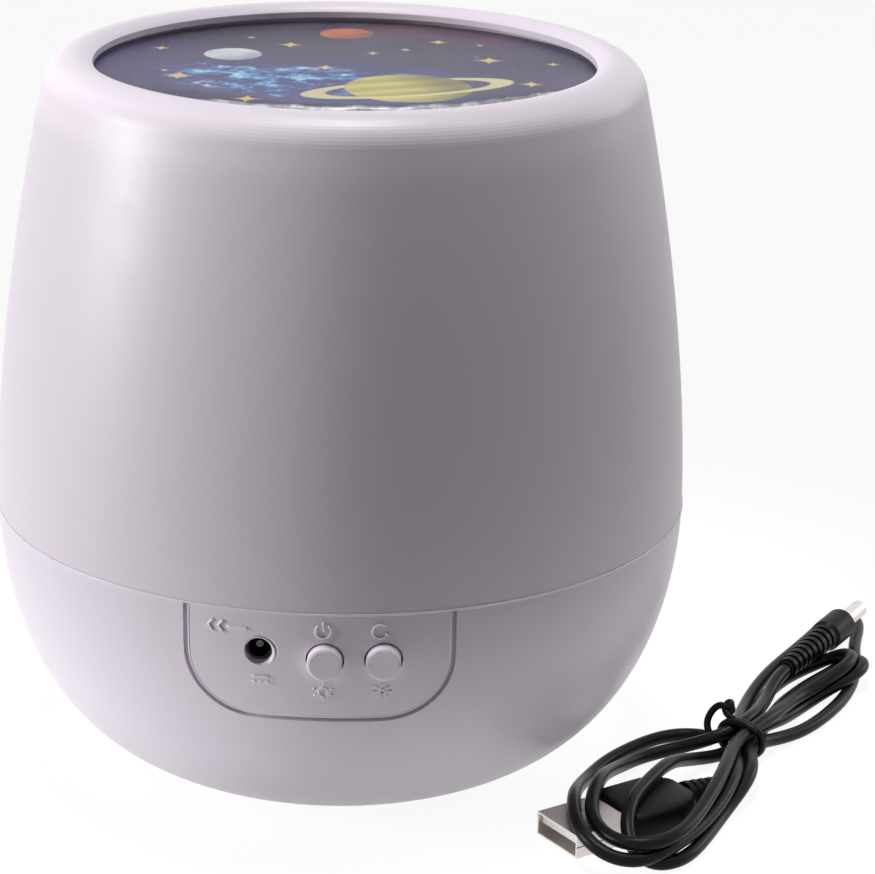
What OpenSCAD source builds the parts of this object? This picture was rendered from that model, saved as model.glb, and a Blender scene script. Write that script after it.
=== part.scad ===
// Star night light projector: a bowl-shaped base with a control panel, a milky shade that twists
// off, a turntable that carries a clear dome with its star film round a lamp column, and a loose
// power cable. The origin is on the floor under the lamp's axis, and the panel faces -Y.

/* [Body] */
// Diameter at the seam between base and shade, the widest place
body_d = 130; // [124:1:136]
// Height from the floor to the crest of the rim
body_h = 135; // [130:1:145]
// Height of the seam
seam_z = 50.7; // [50:0.1:53]
// Diameter of the flat under the bowl
foot_d = 70.2; // [70:0.2:74]
// Wall of the bowl
bowl_wall = 2.4; // [2:0.1:2.8]
// Gap between the shade's lower edge and the bowl's rim
seam_gap = 0.2; // [0.15:0.05:0.5]

/* [Shade] */
// Wall of the shade
shade_wall = 2; // [1.6:0.1:2.4]
// Diameter of the rim's crest
crest_d = 97.8; // [97:0.2:99]
// Diameter of the round opening in the rim
opening_d = 92; // [91.6:0.2:93]
// Radius of the shoulder outside the crest
shoulder_r = 6.4; // [6:0.1:6.8]
// Radius of the rim's roll from the crest down to the opening
roll_r = 3.6; // [3.4:0.1:5]
// Depth of the lip's flat underside below the crest, where the window seats
lip_drop = 2.6; // [2.4:0.1:3]
// Depth of the spigot that enters the bowl
spigot_depth = 4; // [3.6:0.1:4.2]
// Wall of the spigot
spigot_t = 1.8; // [1.4:0.1:2.2]
// Number of bayonet lugs
lug_count = 3; // [2:1:4]
// Width of a bayonet lug, in degrees
lug_w = 14; // [10:1:16]
// Turn from locked to free, in degrees
twist = 18; // [16:1:20]

/* [Window] */
// Thickness of the clear window
window_t = 1.2; // [0.8:0.1:1.6]
// Thickness of the printed film
film_t = 0.25; // [0.2:0.05:0.4]
// Width of the ring that clamps the film
clamp_w = 2.6; // [2:0.1:3]
// Height of the ring that clamps the film
clamp_h = 1.9; // [1.5:0.1:2.4]

/* [Panel] */
// Half width of the panel's U-shaped outline
panel_half = 23.2; // [22.6:0.1:24]
// Height of the outline's bottom
panel_bottom = 29.8; // [28:0.1:31]
// Radius of the outline's corners
panel_corner = 12; // [8:0.5:13]
// Width of the groove round the panel
groove_w = 1; // [0.8:0.1:1.4]
// Depth of the groove
groove_depth = 1.2; // [1:0.1:1.3]
// Height of the buttons' centres
button_z = 42; // [41.5:0.1:42]
// Diameter of a button
button_d = 6.1; // [6:0.05:6.4]
// How far a button stands out
button_proud = 2.4; // [2.2:0.1:2.8]
// Travel of a button
button_travel = 1; // [0.6:0.1:1.2]
// Place of the power button across the panel
power_x = 1.2; // [0.8:0.1:1.6]
// Place of the mode button across the panel
mode_x = 11.3; // [11:0.1:11.6]
// Place of the DC jack across the panel
jack_x = -10.4; // [-11.5:0.1:-10]
// Height of the DC jack
jack_z = 42.9; // [42.5:0.1:43]
// Diameter of the hole in the panel for the DC plug
jack_hole_d = 4.8; // [4.6:0.1:5.2]

/* [Turntable] */
// Module of the gears
gear_m = 0.8; // [0.75:0.01:0.85]
// Teeth on the turntable
ring_teeth = 60; // [56:2:64]
// Teeth on the pinion
pinion_teeth = 14; // [14:2:18]
// Width of the turntable's teeth
gear_w = 4; // [3:0.1:4.4]
// Diameter of the turntable's plate
table_d = 80; // [78:1:86]
// Thickness of the plate
table_t = 2; // [1.6:0.1:2.4]
// Outer diameter of the deck's bearing boss
bearing_d = 24; // [22:0.5:26]
// Radial running clearance on the bearing boss
bearing_fit = 0.08; // [0.05:0.01:0.1]
// Height of the dome's straight wall
dome_wall_h = 26.7; // [20:0.1:32]
// Wall of the clear dome
dome_t = 1.5; // [1:0.1:2]
// Thickness of the star film
star_t = 0.4; // [0.3:0.05:0.6]

/* [Lamp column] */
// Diameter of the column
post_d = 14.8; // [13:0.1:16]
// Height of the lamp board's underside
led_z = 72.5; // [68:0.5:76]
// Diameter of the lamp board
led_board_d = 22; // [20:0.5:26]
// Number of small lamps round the projection lamp
ring_led_count = 6; // [3:1:7]

/* [Motor] */
// Diameter of the geared motor
motor_d = 20; // [18:0.5:22]
// Height of the geared motor
motor_h = 13; // [10:0.5:15]
// Diameter of the motor's shaft
shaft_d = 2; // [1.6:0.1:2.4]

/* [Battery bay] */
// Length of an AAA cell
cell_l = 44.5; // [44:0.1:45]
// Diameter of an AAA cell
cell_d = 10.5; // [10:0.1:10.5]
// Number of cells
cell_count = 3; // [2:1:3]
// Thickness of the bottom plate
plate_t = 2.4; // [2.2:0.1:3]
// How far the rubber feet stand out
foot_proud = 0.8; // [0.6:0.1:1.2]
// Diameter of a rubber foot
foot_pad_d = 6.4; // [5.6:0.1:6.6]

/* [Cable] */
// Diameter of the cable
cable_d = 2.6; // [2.4:0.1:3]
// Height of the tied hank
hank_h = 8.6; // [8:0.1:9]
// Width of the USB plug's metal shell
usb_w = 12; // [11.8:0.1:12.2]
// Height of the USB plug's metal shell
usb_h = 4.5; // [4.4:0.1:4.6]
// Length of the USB plug's metal shell
usb_l = 12.5; // [11:0.5:13]
// Length of the USB plug's overmould
usb_grip_l = 17; // [16:0.5:18]
// Diameter of the DC plug's barrel
barrel_d = 3.5; // [3.4:0.1:3.6]
// Length of the DC plug's barrel
barrel_l = 9.5; // [8:0.5:10]

/* [Hidden] */
$fn = 96;
eps = 0.01;
body_gap = 0.3;      // between pieces that move past each other
seat_gap = 0.1;      // between curved faces of one body

body_r = body_d / 2;
foot_r = foot_d / 2;
base_z = foot_proud;

// Bowl: one cubic curve from the flat under the bowl to an upright wall at the seam.
bowl_steps = 40;
bowl_lower = [body_r - 2.4, base_z + 8.1];               // pulls the curve out along the floor
bowl_upper = [body_r, seam_z - 9.4];              // holds it upright under the seam
function bowl_pt(t) = pow(1 - t, 3) * [foot_r, base_z] + 3 * pow(1 - t, 2) * t * bowl_lower
    + 3 * (1 - t) * t * t * bowl_upper + pow(t, 3) * [body_r, seam_z];
function bowl_tangent(t) = pow(1 - t, 2) * (bowl_lower - [foot_r, base_z])
    + 2 * (1 - t) * t * (bowl_upper - bowl_lower) + t * t * ([body_r, seam_z] - bowl_upper);
function bowl_in(t, d) = let (g = bowl_tangent(t)) bowl_pt(t) - d * [g.y, -g.x] / norm(g);
function bowl_t(z, lo = 0, hi = 1, n = 22) = n == 0 ? (lo + hi) / 2
    : bowl_pt((lo + hi) / 2).y < z ? bowl_t(z, (lo + hi) / 2, hi, n - 1)
    : bowl_t(z, lo, (lo + hi) / 2, n - 1);
function bowl_r(z) = bowl_pt(bowl_t(z)).x;
function wall_y(x, z, inset) = -sqrt(pow(bowl_r(z) - inset, 2) - x * x);

// Bottom plate and battery bay.
plate_top = base_z + plate_t;
plate_r = foot_r - 1.1;
ledge_t = 2;
ledge_w = 1.9;
bay_w = cell_count * (cell_d + 0.5) + 0.4;
bay_l = cell_l + 4.5;
bay_h = cell_d + 0.7;
bay_wall = 1.4;
bay_top = plate_top + bay_h;
door_gap = body_gap;
door_w = bay_w + 2;
door_l = bay_l + 0.5;
door_t = 2;
door_z = base_z + 0.2;
door_axis = [door_l / 2 - door_t / 2, door_z + door_t / 2];
door_pin_r = 0.7;
door_pin_l = 1.5;
plate_screw_r = plate_r - 3.6;
plate_screw_a = 20;
foot_x = (door_w / 2 + plate_r) / 2 + 0.4;
foot_y = (door_l / 2 + plate_r) / 2 + 0.2;
foot_seat = 0.8;

// Screws.
screw_r = 1;
screw_fit = 0.06;
screw_head_r = 2.2;
screw_head_h = 1.3;
screw_l = 7;
motor_screw_l = 4;

// Deck, bearing and gears.
deck_t = 2;
deck_z = seam_z - 9.2;
deck_top = deck_z + deck_t;
spigot_ro = body_r - bowl_wall - 0.4;
spigot_ri = spigot_ro - spigot_t;
lug_reach = 2.2;
lug_t = 1.8;
collar_ro = spigot_ri - 0.35;
collar_ri = collar_ro - 2.4;
collar_top = seam_z - 0.5;
deck_r = min(body_r - bowl_wall - 1.2, bowl_r(deck_z) - bowl_wall - 0.4);
deck_post_r = body_r - 15;
front_half = panel_half + 1.3;       // half width of the deck's cut-out behind the panel
front_y = body_r - 22;
gear_z = deck_top + 1.8;
table_z = gear_z + gear_w;
table_top = table_z + table_t;
boss_top = table_top + 0.7;
ring_r = gear_m * ring_teeth / 2;
pinion_r = gear_m * pinion_teeth / 2;
backlash = 0.14;
motor_y = ring_r + pinion_r;
motor_top = deck_z;
ear_t = 1.2;
ear_x = motor_d / 2 + 3.5;
post_bore_r = post_d / 2 - 1.4;
post_foot_r = bearing_d / 2 - 3;
post_depth = 6;
dome_r = table_d / 2 - 1.8;
dome_corner_z = table_top + dome_wall_h;

// Control board behind the panel.
board_front = 14.2 - body_r;
board_t = 1.6;
board_half = panel_half - 2.2;
board_low = panel_bottom + 2.2;
board_high = seam_z - 5;
board_boss_x = board_half - 4;
board_boss_z = board_low + 4.5;
board_screw_l = 5;
switch_s = 6;
switch_h = 3.6;
stem_r = 1.75;
stem_dip = 0.5;
stem_tip = board_front - switch_h - 0.6 + stem_dip;
flange_r = button_d / 2 + 0.9;
flange_t = 1.2;
jack_w = 7;
jack_h = 6.2;
jack_bore_r = 1.95;
jack_nose_y = wall_y(jack_x, jack_z, 0) + 2.6;

// Shade: a wall that leans in by a power law, a round shoulder and a rim that rolls inwards.
shade_lean = 12.3;
shade_power = 1.75;
shade_steps = 36;
crest_r = crest_d / 2;
opening_r = opening_d / 2;
shade_z = seam_z + seam_gap;
shoulder_c = [crest_r, body_h - shoulder_r];
shoulder_start = shoulder_c + shoulder_r * [cos(shade_lean), sin(shade_lean)];
function shade_u(z) = max(0, (z - seam_z) / (body_h - seam_z));
shade_taper = (body_r - shoulder_start.x) / pow(shade_u(shoulder_start.y), shade_power);
function shade_r(z) = body_r - shade_taper * pow(shade_u(z), shade_power);
function arc(c, r, a0, a1, n) = [for (i = [0:n]) let (a = a0 + (a1 - a0) * i / n) c + r * [cos(a), sin(a)]];
lip_z = body_h - lip_drop;
window_r = min(opening_r + 3, crest_r + 0.3);
rim_r = max(roll_r, (crest_r - opening_r) * 1.15);
rib_ri = window_r + 0.15;
rib_t = 1.2;
film_z = lip_z - window_t - film_t;

// Cable pieces lie in two frames of their own.
usb_place = [42.5, -50.2];
usb_yaw = 36;
usb_mid = 3.2;
usb_relief_l = 10.5;
dc_place = [89.2, 23.3];
dc_yaw = 62;
dc_mid = 5.7;
dc_relief_l = 20;
dc_grip_l = 9.5;
dc_grip_r = 3.3;
tie_place = [78.4, -7.6];
tie_yaw = 56;
tie_w = 2.4;
tie_t = 0.9;
neck_r = 7;

// ---------------------------------------------------------------- shared shapes

module revolve(points) {
    rotate_extrude() polygon(points);
}

module ring(ro, ri, z0, z1) {
    translate([0, 0, z0]) difference() {
        cylinder(r = ro, h = z1 - z0);
        translate([0, 0, -1]) cylinder(r = ri, h = z1 - z0 + 2);
    }
}

module sector(ro, ri, z0, z1, from, to) {
    rotate([0, 0, from]) rotate_extrude(angle = to - from)
        translate([ri, z0]) square([ro - ri, z1 - z0]);
}

// The bowl filled solid, its surface moved in by d.
module bowl_core(d) {
    curve = [for (i = [0:bowl_steps]) bowl_in(i / bowl_steps, d)];
    revolve(concat([[0, curve[0].y]], curve, [[0, seam_z]]));
}

// The panel's outline, grown by g, pushed through the front of the bowl.
module panel_prism(g, top) {
    c = panel_half - panel_corner;
    low = panel_bottom + panel_corner;
    outline = concat([[-panel_half - g, top]],
        [for (p = arc([-c, low], panel_corner + g, 180, 270, 12)) p],
        [for (p = arc([c, low], panel_corner + g, 270, 360, 12)) p],
        [[panel_half + g, top]]);
    translate([0, -front_y, 0]) rotate([90, 0, 0]) linear_extrude(body_r - front_y + 5) polygon(outline);
}

// A round bar along -Y whose far end is at y = tip.
module bar_y(x, z, r, tip, back) {
    translate([x, back, z]) rotate([90, 0, 0]) cylinder(r = r, h = back - tip);
}

module cross_slot(depth) {
    for (a = [0, 90]) rotate([0, 0, a]) translate([-screw_head_r * 0.6, -0.3, -depth])
        cube([screw_head_r * 1.2, 0.6, depth + eps]);
}

// A pan-head screw that hangs from z = 0, its head above.
module screw(length) {
    difference() {
        union() {
            translate([0, 0, -length]) cylinder(r = screw_r, h = length + eps);
            cylinder(r1 = screw_head_r, r2 = screw_head_r * 0.8, h = screw_head_h);
        }
        translate([0, 0, screw_head_h]) cross_slot(0.8);
    }
}

// A tube of diameter d swept along a path; side is any direction that the path never takes.
module tube_along(path, d, sides, side) {
    last = len(path) - 1;
    rings = [for (i = [0:last])
        let (t = path[min(i + 1, last)] - path[max(i - 1, 0)],
            u = cross(t, side) / norm(cross(t, side)),
            v = cross(t, u) / norm(t))
        for (k = [0:sides - 1]) path[i] + d / 2 * (cos(360 * k / sides) * u + sin(360 * k / sides) * v)];
    walls = [for (i = [0:last - 1]) for (k = [0:sides - 1])
        let (a = i * sides + k, b = i * sides + (k + 1) % sides)
        each [[a, a + sides, b + sides], [a, b + sides, b]]];
    ends = [[for (k = [0:sides - 1]) k], [for (k = [0:sides - 1]) last * sides + sides - 1 - k]];
    polyhedron(points = rings, faces = concat(walls, ends), convexity = 6);
}

function involute(a) = tan(a) * 180 / PI - a;
function tooth_half(r, n) = let (base = gear_m * n / 2 * cos(20))
    90 / n - backlash / 2 / (gear_m * n / 2) * 180 / PI / 2
    + involute(20) - involute(acos(min(1, base / r)));

// The outline of a gear with n involute teeth; first is the angle of one tooth.
module gear_outline(n, tip, first) {
    pitch = gear_m * n / 2;
    root = pitch - 1.15 * gear_m;
    base = max(root, pitch * cos(20));
    radii = [root, for (i = [0:4]) base + (tip - base) * i / 4];
    polygon([for (k = [0:n - 1]) let (a = first + 360 * k / n)
        each concat(
            [for (r = radii) r * [cos(a - tooth_half(max(r, base), n)), sin(a - tooth_half(max(r, base), n))]],
            [for (i = [0:5]) let (r = radii[5 - i], h = tooth_half(max(r, base), n)) r * [cos(a + h), sin(a + h)]])]);
}

// ---------------------------------------------------------------- base

module base_shell() {
    wall_in = [for (i = [0:bowl_steps]) bowl_in(1 - i / bowl_steps, bowl_wall)];
    profile = concat([for (i = [0:bowl_steps]) bowl_pt(i / bowl_steps)],
        [for (p = wall_in) if (p.y > plate_top + ledge_t) p],
        [[plate_r - ledge_w, plate_top + ledge_t], [plate_r - ledge_w, plate_top],
        [plate_r + 0.2, plate_top], [plate_r + 0.2, base_z]]);
    color("#e8e4ec") difference() {
        union() {
            revolve(profile);
            intersection() {
                bowl_core(1);
                for (a = [45:90:315]) rotate([0, 0, a]) translate([deck_post_r, 0, base_z])
                    cylinder(r = 3.5, h = deck_z - base_z);
            }
            plate_screw_places() translate([0, 0, plate_top]) cylinder(r = 3, h = 9);
        }
        difference() {
            panel_prism(groove_w / 2, seam_z + 5);
            bowl_core(groove_depth);
        }
        panel_prism(-1.6, seam_z + 5);
        for (a = [45:90:315]) rotate([0, 0, a]) translate([deck_post_r, 0, deck_z - 9])
            cylinder(r = screw_r + screw_fit, h = 10);
        plate_screw_places() translate([0, 0, base_z]) cylinder(r = screw_r + screw_fit, h = plate_t + 8);
    }
}

module plate_screw_places() {
    for (a = [plate_screw_a, 180 - plate_screw_a, 180 + plate_screw_a, -plate_screw_a])
        rotate([0, 0, a]) translate([plate_screw_r, 0, 0]) children();
}

module foot_places() {
    for (p = [[foot_x, 0], [-foot_x, 0], [0, foot_y], [0, -foot_y]]) translate([p.x, p.y, 0]) children();
}

module control_panel() {
    color("#e4e0e8") difference() {
        union() {
            intersection() {
                difference() {
                    bowl_core(0);
                    bowl_core(groove_depth - seat_gap);
                }
                panel_prism(-groove_w / 2, seam_z);
            }
            intersection() {
                difference() {
                    bowl_core(groove_depth - seat_gap - eps);
                    bowl_core(bowl_wall);
                }
                panel_prism(-1.6 - seat_gap, seam_z);
            }
            intersection() {
                bowl_core(groove_depth);
                for (s = [-1, 1]) bar_y(s * board_boss_x, board_boss_z, 2.4, -body_r, board_front);
            }
        }
        for (x = [power_x, mode_x]) bar_y(x, button_z, button_d / 2 + body_gap, -body_r - 5, -front_y);
        bar_y(jack_x, jack_z, jack_hole_d / 2, -body_r - 5, -front_y);
        translate([jack_x, jack_nose_y - 2.1, jack_z]) rotate([90, 0, 0])
            revolve([[0, 0], [jack_hole_d / 2, 0], [jack_hole_d / 2 + 2.2, 2], [0, 2]]);
        for (s = [-1, 1]) bar_y(s * board_boss_x, board_boss_z, screw_r + screw_fit, board_front - 6, board_front + 1);
    }
}

module bottom_plate() {
    color("#e4e0e8") difference() {
        union() {
            translate([0, 0, base_z]) cylinder(r = plate_r, h = plate_t);
            translate([-bay_w / 2 - bay_wall, -bay_l / 2 - bay_wall, plate_top - eps])
                cube([bay_w + 2 * bay_wall, bay_l + 2 * bay_wall, bay_h + bay_wall + eps]);
        }
        translate([-bay_w / 2, -bay_l / 2, base_z - 1]) cube([bay_w, bay_l, bay_top - base_z + 1]);
        translate([-door_w / 2 - door_gap, -door_l / 2 - door_gap, base_z - 1])
            cube([door_w + 2 * door_gap, door_l + 2 * door_gap, plate_t + 1]);
        translate([0, door_axis.x, door_axis.y]) rotate([0, 90, 0])
            cylinder(r = door_pin_r + 0.08, h = door_w + 2 * door_pin_l + 0.8, center = true);
        plate_screw_places() translate([0, 0, base_z - 1]) {
            cylinder(r = screw_r + 0.3, h = plate_t + 2);
            cylinder(r = screw_head_r + 0.3, h = screw_head_h + 1.1);
        }
        foot_places() translate([0, 0, base_z - 1]) cylinder(r = foot_pad_d / 2 + seat_gap, h = foot_seat + 1);
    }
    color("#e4e0e8") for (i = [1:cell_count - 1])
        translate([-bay_w / 2 + i * bay_w / cell_count - 0.4, -bay_l / 2 + 5, bay_top - 2.2])
            cube([0.8, bay_l - 10, 2.2 + eps]);
}

module battery_door() {
    color("#dedae2") difference() {
        union() {
            translate([-door_w / 2, -door_l / 2, door_z]) cube([door_w, door_l - door_t / 2, door_t]);
            translate([0, door_axis.x, door_axis.y]) rotate([0, 90, 0]) {
                cylinder(r = door_t / 2, h = door_w, center = true);
                cylinder(r = door_pin_r, h = door_w + 2 * door_pin_l, center = true);
            }
        }
        translate([0, -door_l / 2 + 7, door_z - 1]) cylinder(r = 5.5, h = 1.8);
    }
    color("#dedae2") for (i = [0:2]) translate([-3.5, -door_l / 2 + 4.4 + 2 * i, door_z + 0.1])
        cube([7, 0.8, 0.8]);
}

module rubber_feet() {
    color("#3a3a3e") foot_places() cylinder(r = foot_pad_d / 2, h = base_z + foot_seat);
}

// The cells lie side by side along Y and alternate, so each end has plates for all of them.
module cell_places() {
    for (i = [0:cell_count - 1]) translate([(i - (cell_count - 1) / 2) * bay_w / cell_count, 0, 0])
        mirror([0, i % 2, 0]) children();
}

module contact_plates() {
    color("silver") cell_places() for (s = [-1, 1])
        translate([-4.2, s * (bay_l / 2 - 0.2) - 0.2, plate_top + 1]) cube([8.4, 0.4, 8.6]);
}

module contact_springs() {
    spring_l = 3.4;
    turns = 3.5;
    path = [for (i = [0:turns * 10]) let (u = i / (turns * 10))
        [(3.2 - 1.2 * u) * cos(36 * i), bay_l / 2 - 0.75 - spring_l * u,
        plate_top + bay_h / 2 + (3.2 - 1.2 * u) * sin(36 * i)]];
    color("silver") cell_places() tube_along(path, 0.6, 6, [0, 1, 0]);
}

module deck() {
    color("#f0eef2") difference() {
        union() {
            translate([0, 0, deck_z]) cylinder(r = deck_r, h = deck_t);
            ring(collar_ro, collar_ri, deck_top - eps, collar_top);
            translate([0, 0, deck_top - eps]) cylinder(r = bearing_d / 2, h = boss_top - deck_top + eps);
            ring(bearing_d / 2 + 3, bearing_d / 2 - 1, deck_top - eps, gear_z - body_gap);
            motor_screw_places() translate([0, 0, deck_top - eps]) cylinder(r = 2.6, h = 3);
        }
        translate([0, 0, deck_z - 1]) cylinder(r = post_foot_r + seat_gap, h = boss_top);
        for (k = [0:lug_count - 1]) rotate([0, 0, 90 + k * 360 / lug_count]) bayonet_slot();
        translate([-front_half, -body_r, deck_z - 1]) cube([2 * front_half, body_r - front_y, seam_z]);
        for (a = [45:90:315]) rotate([0, 0, a]) translate([deck_post_r, 0, deck_z - 1])
            cylinder(r = screw_r + 0.3, h = deck_t + 2);
        motor_screw_places() translate([0, 0, deck_z - 1]) cylinder(r = screw_r + screw_fit, h = 7);
        translate([0, motor_y, deck_z - 1]) cylinder(r = 3.1, h = deck_t + 2);
    }
}

// An L-shaped slot: down from the top at the free end of the turn, then along to the locked end.
module bayonet_slot() {
    slack = 0.7;
    low = seam_z - spigot_depth;
    sector(collar_ro + 1, collar_ri - 1, low - body_gap, low + lug_t + body_gap,
        -twist - lug_w / 2 - slack, lug_w / 2 + slack);
    sector(collar_ro + 1, collar_ri - 1, low, seam_z + 1,
        -twist - lug_w / 2 - slack, -twist + lug_w / 2 + slack);
}

// ---------------------------------------------------------------- turntable and drive

module turntable() {
    color("#f2f0e8") difference() {
        union() {
            translate([0, 0, gear_z]) linear_extrude(gear_w + eps)
                gear_outline(ring_teeth, ring_r + 0.8 * gear_m, 90 + 180 / ring_teeth);
            translate([0, 0, table_z]) cylinder(r = table_d / 2, h = table_t);
            ring(table_d / 2, dome_r + 0.15, table_top - eps, table_top + 3.2);
        }
        translate([0, 0, gear_z - 1]) cylinder(r = bearing_d / 2 + bearing_fit, h = table_top);
        for (k = [0:5]) rotate([0, 0, 60 * k]) translate([(ring_r + dome_r) / 2 - 0.6, 0, gear_z - 1])
            cylinder(r = 3, h = table_top);
    }
}

module drive_pinion() {
    color("#f2f0e8") translate([0, motor_y, gear_z + 0.3]) difference() {
        linear_extrude(gear_w - 0.6) gear_outline(pinion_teeth, pinion_r + gear_m, -90);
        translate([0, 0, -1]) cylinder(r = shaft_d / 2 + 0.03, h = gear_w + 2);
    }
}

module motor_shaft() {
    color("silver") translate([0, motor_y, motor_top - 4]) cylinder(r = shaft_d / 2, h = table_z - 0.4 - motor_top + 4);
}

module gear_motor() {
    color("#c8c8cc") translate([0, motor_y, 0]) difference() {
        union() {
            revolve([[0, motor_top - motor_h], [motor_d / 2 - 1, motor_top - motor_h],
                [motor_d / 2, motor_top - motor_h + 1], [motor_d / 2, motor_top], [0, motor_top]]);
            translate([-ear_x, -3, motor_top - ear_t]) cube([2 * ear_x, 6, ear_t]);
            for (s = [-1, 1]) translate([s * ear_x, 0, motor_top - ear_t]) cylinder(r = 3, h = ear_t);
            translate([0, 0, motor_top - eps]) cylinder(r = 2.9, h = 1.4);
            for (s = [-1, 1]) translate([s * 4 - 0.9, -0.3, motor_top - motor_h - 2.4]) cube([1.8, 0.6, 2.6]);
        }
        translate([0, 0, motor_top - 4.3]) cylinder(r = shaft_d / 2 + 0.06, h = 10);
        for (s = [-1, 1]) translate([s * ear_x, 0, motor_top - ear_t - 1])
            cylinder(r = screw_r + 0.3, h = ear_t + 2);
    }
}

module motor_screw_places() {
    for (s = [-1, 1]) translate([s * ear_x, motor_y, 0]) children();
}

// ---------------------------------------------------------------- lamp column

module led_post() {
    foot_z = boss_top - post_depth;
    flange_r = bearing_d / 2 + 1.5;
    cup_r = led_board_d / 2;
    color("#f4f4f2") revolve([[post_bore_r, foot_z], [post_foot_r, foot_z], [post_foot_r, boss_top],
        [flange_r, boss_top], [flange_r, boss_top + 1.2], [post_d / 2 + 1.2, boss_top + 2.4],
        [post_d / 2, boss_top + 5], [post_d / 2, led_z - 3.4], [cup_r, led_z - 1.4],
        [cup_r, led_z], [post_bore_r, led_z]]);
}

module led_board() {
    color("#f8f8f4") translate([0, 0, led_z]) difference() {
        cylinder(r = led_board_d / 2, h = board_t);
        for (s = [-1, 1]) translate([s * 4.6, 0, -1]) cylinder(r = 0.7, h = board_t + 2);
    }
}

module projection_led() {
    z = led_z + board_t;
    dome = arc([0, z + 2.6], 2.5, 0, 90, 10);
    color("#f0ecc8") revolve(concat([[0, z], [3.2, z], [3.2, z + 1.2], [2.5, z + 1.4]], dome));
}

module ring_leds() {
    color("#f6f0c0") for (k = [0:ring_led_count - 1])
        rotate([0, 0, 360 * (k + 0.5) / ring_led_count])
            translate([led_board_d / 2 - 2.9, 0, led_z + board_t]) {
                translate([-1.75, -1.75, 0]) cube([3.5, 3.5, 1.4]);
                translate([0, 0, 1.4 - eps]) cylinder(r = 1.3, h = 0.25);
            }
}

// A cap-shaped shell: straight wall, then a half round top.
module cap_shell(r, t) {
    outer = arc([0, dome_corner_z], r, 0, 90, 28);
    inner = arc([0, dome_corner_z], r - t, 90, 0, 28);
    revolve(concat([[r, table_top]], outer, inner, [[r - t, table_top]]));
}

module projection_dome() {
    color("#dfe8f0", 0.3) cap_shell(dome_r, dome_t);
}

module star_film() {
    color("#1a2a60", 0.8) cap_shell(dome_r - dome_t - 0.3, star_t);
}

// ---------------------------------------------------------------- shade

module shade() {
    rim_turn = asin((crest_r - opening_r) / rim_r);
    outer = [for (i = [0:shade_steps]) let (z = shade_z + (shoulder_start.y - shade_z) * i / shade_steps)
        [shade_r(z), z]];
    shoulder = arc(shoulder_c, shoulder_r, shade_lean + 6, 90, 12);
    rim = arc([crest_r, body_h - rim_r], rim_r, 93, 90 + rim_turn, 8);
    under = [[opening_r, lip_z], [rib_ri, lip_z], [rib_ri, film_z - clamp_h - 0.5],
        [rib_ri + rib_t, film_z - clamp_h - 0.5]];
    step_z = shade_z + 2.4;
    inner_top = shoulder_c + (shoulder_r - shade_wall) * [cos(shade_lean), sin(shade_lean)];
    inner_arc = arc(shoulder_c, shoulder_r - shade_wall, acos((rib_ri + rib_t - crest_r) / (shoulder_r - shade_wall)),
        shade_lean, 6);
    inner = [for (i = [1:shade_steps]) let (z = inner_top.y + (step_z + 2.6 - inner_top.y) * i / shade_steps)
        [shade_r(z) - shade_wall / cos(shade_lean * shade_u(z)), z]];
    spigot = [[spigot_ri, step_z], [spigot_ri, seam_z - spigot_depth],
        [spigot_ro, seam_z - spigot_depth], [spigot_ro, shade_z]];
    color("#e9e4ee", 0.95) {
        revolve(concat(outer, shoulder, rim, under, inner_arc, inner, spigot));
        for (k = [0:lug_count - 1]) rotate([0, 0, 90 + k * 360 / lug_count])
            sector(spigot_ri + 0.3, spigot_ri - lug_reach, seam_z - spigot_depth,
                seam_z - spigot_depth + lug_t, -lug_w / 2, lug_w / 2);
    }
}

module window_lens() {
    color("#f0f4f8", 0.3) translate([0, 0, lip_z - window_t]) cylinder(r = window_r, h = window_t);
}

module sky_film() {
    color("#1c2450") translate([0, 0, film_z]) cylinder(r = window_r - 0.2, h = film_t);
}

module film_ring() {
    color("#f0eef2") difference() {
        ring(window_r, window_r - clamp_w, film_z - clamp_h, film_z);
        for (k = [0:2]) rotate([0, 0, 120 * k + 30]) translate([window_r - clamp_w - 1, -3, film_z - clamp_h - 1])
            cube([2, 6, 1.8]);
    }
}

// ---------------------------------------------------------------- controls

module control_board() {
    color("#2f7a46") difference() {
        translate([-board_half, board_front, board_low]) cube([2 * board_half, board_t, board_high - board_low]);
        for (s = [-1, 1]) bar_y(s * board_boss_x, board_boss_z, screw_r + 0.3, board_front - 1, board_front + board_t + 1);
    }
}

module board_parts() {
    back = board_front + board_t;
    color("#222226") {
        translate([-6, back, board_low + 4]) cube([8, 1.5, 5]);
        translate([8, back, board_low + 5]) rotate([-90, 0, 0]) cylinder(r = 2.5, h = 7);
        for (i = [0:3]) translate([-17 + 3 * i, back, board_low + 10]) cube([1.6, 0.6, 0.8]);
    }
}

module tact_switches() {
    color("#2a2a2e") for (x = [power_x, mode_x]) difference() {
        union() {
            translate([x - switch_s / 2, board_front - switch_h, button_z - switch_s / 2])
                cube([switch_s, switch_h, switch_s]);
            bar_y(x, button_z, stem_r + 0.8, board_front - switch_h - 0.6, board_front - 1);
        }
        bar_y(x, button_z, stem_r + 0.08, board_front - switch_h - 1, stem_tip + button_travel + 0.4);
    }
}

// A cap with a flange behind the panel and a stem that reaches into its switch.
module button(x) {
    face = wall_y(x, button_z, 0) - button_proud;
    flange = wall_y(abs(x) + flange_r, button_z - flange_r, bowl_wall) + body_gap;
    color("#e6e2ea") {
        translate([x, flange + flange_t, button_z]) rotate([90, 0, 0])
            revolve([[0, 0], [flange_r, 0], [flange_r, flange_t], [button_d / 2, flange_t],
                [button_d / 2, flange + flange_t - face - 0.5], [button_d / 2 - 0.15, flange + flange_t - face - 0.15],
                [button_d / 2 - 0.5, flange + flange_t - face], [0, flange + flange_t - face]]);
        bar_y(x, button_z, stem_r, flange + flange_t - eps, stem_tip);
    }
}

module power_button() {
    button(power_x);
}

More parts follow.
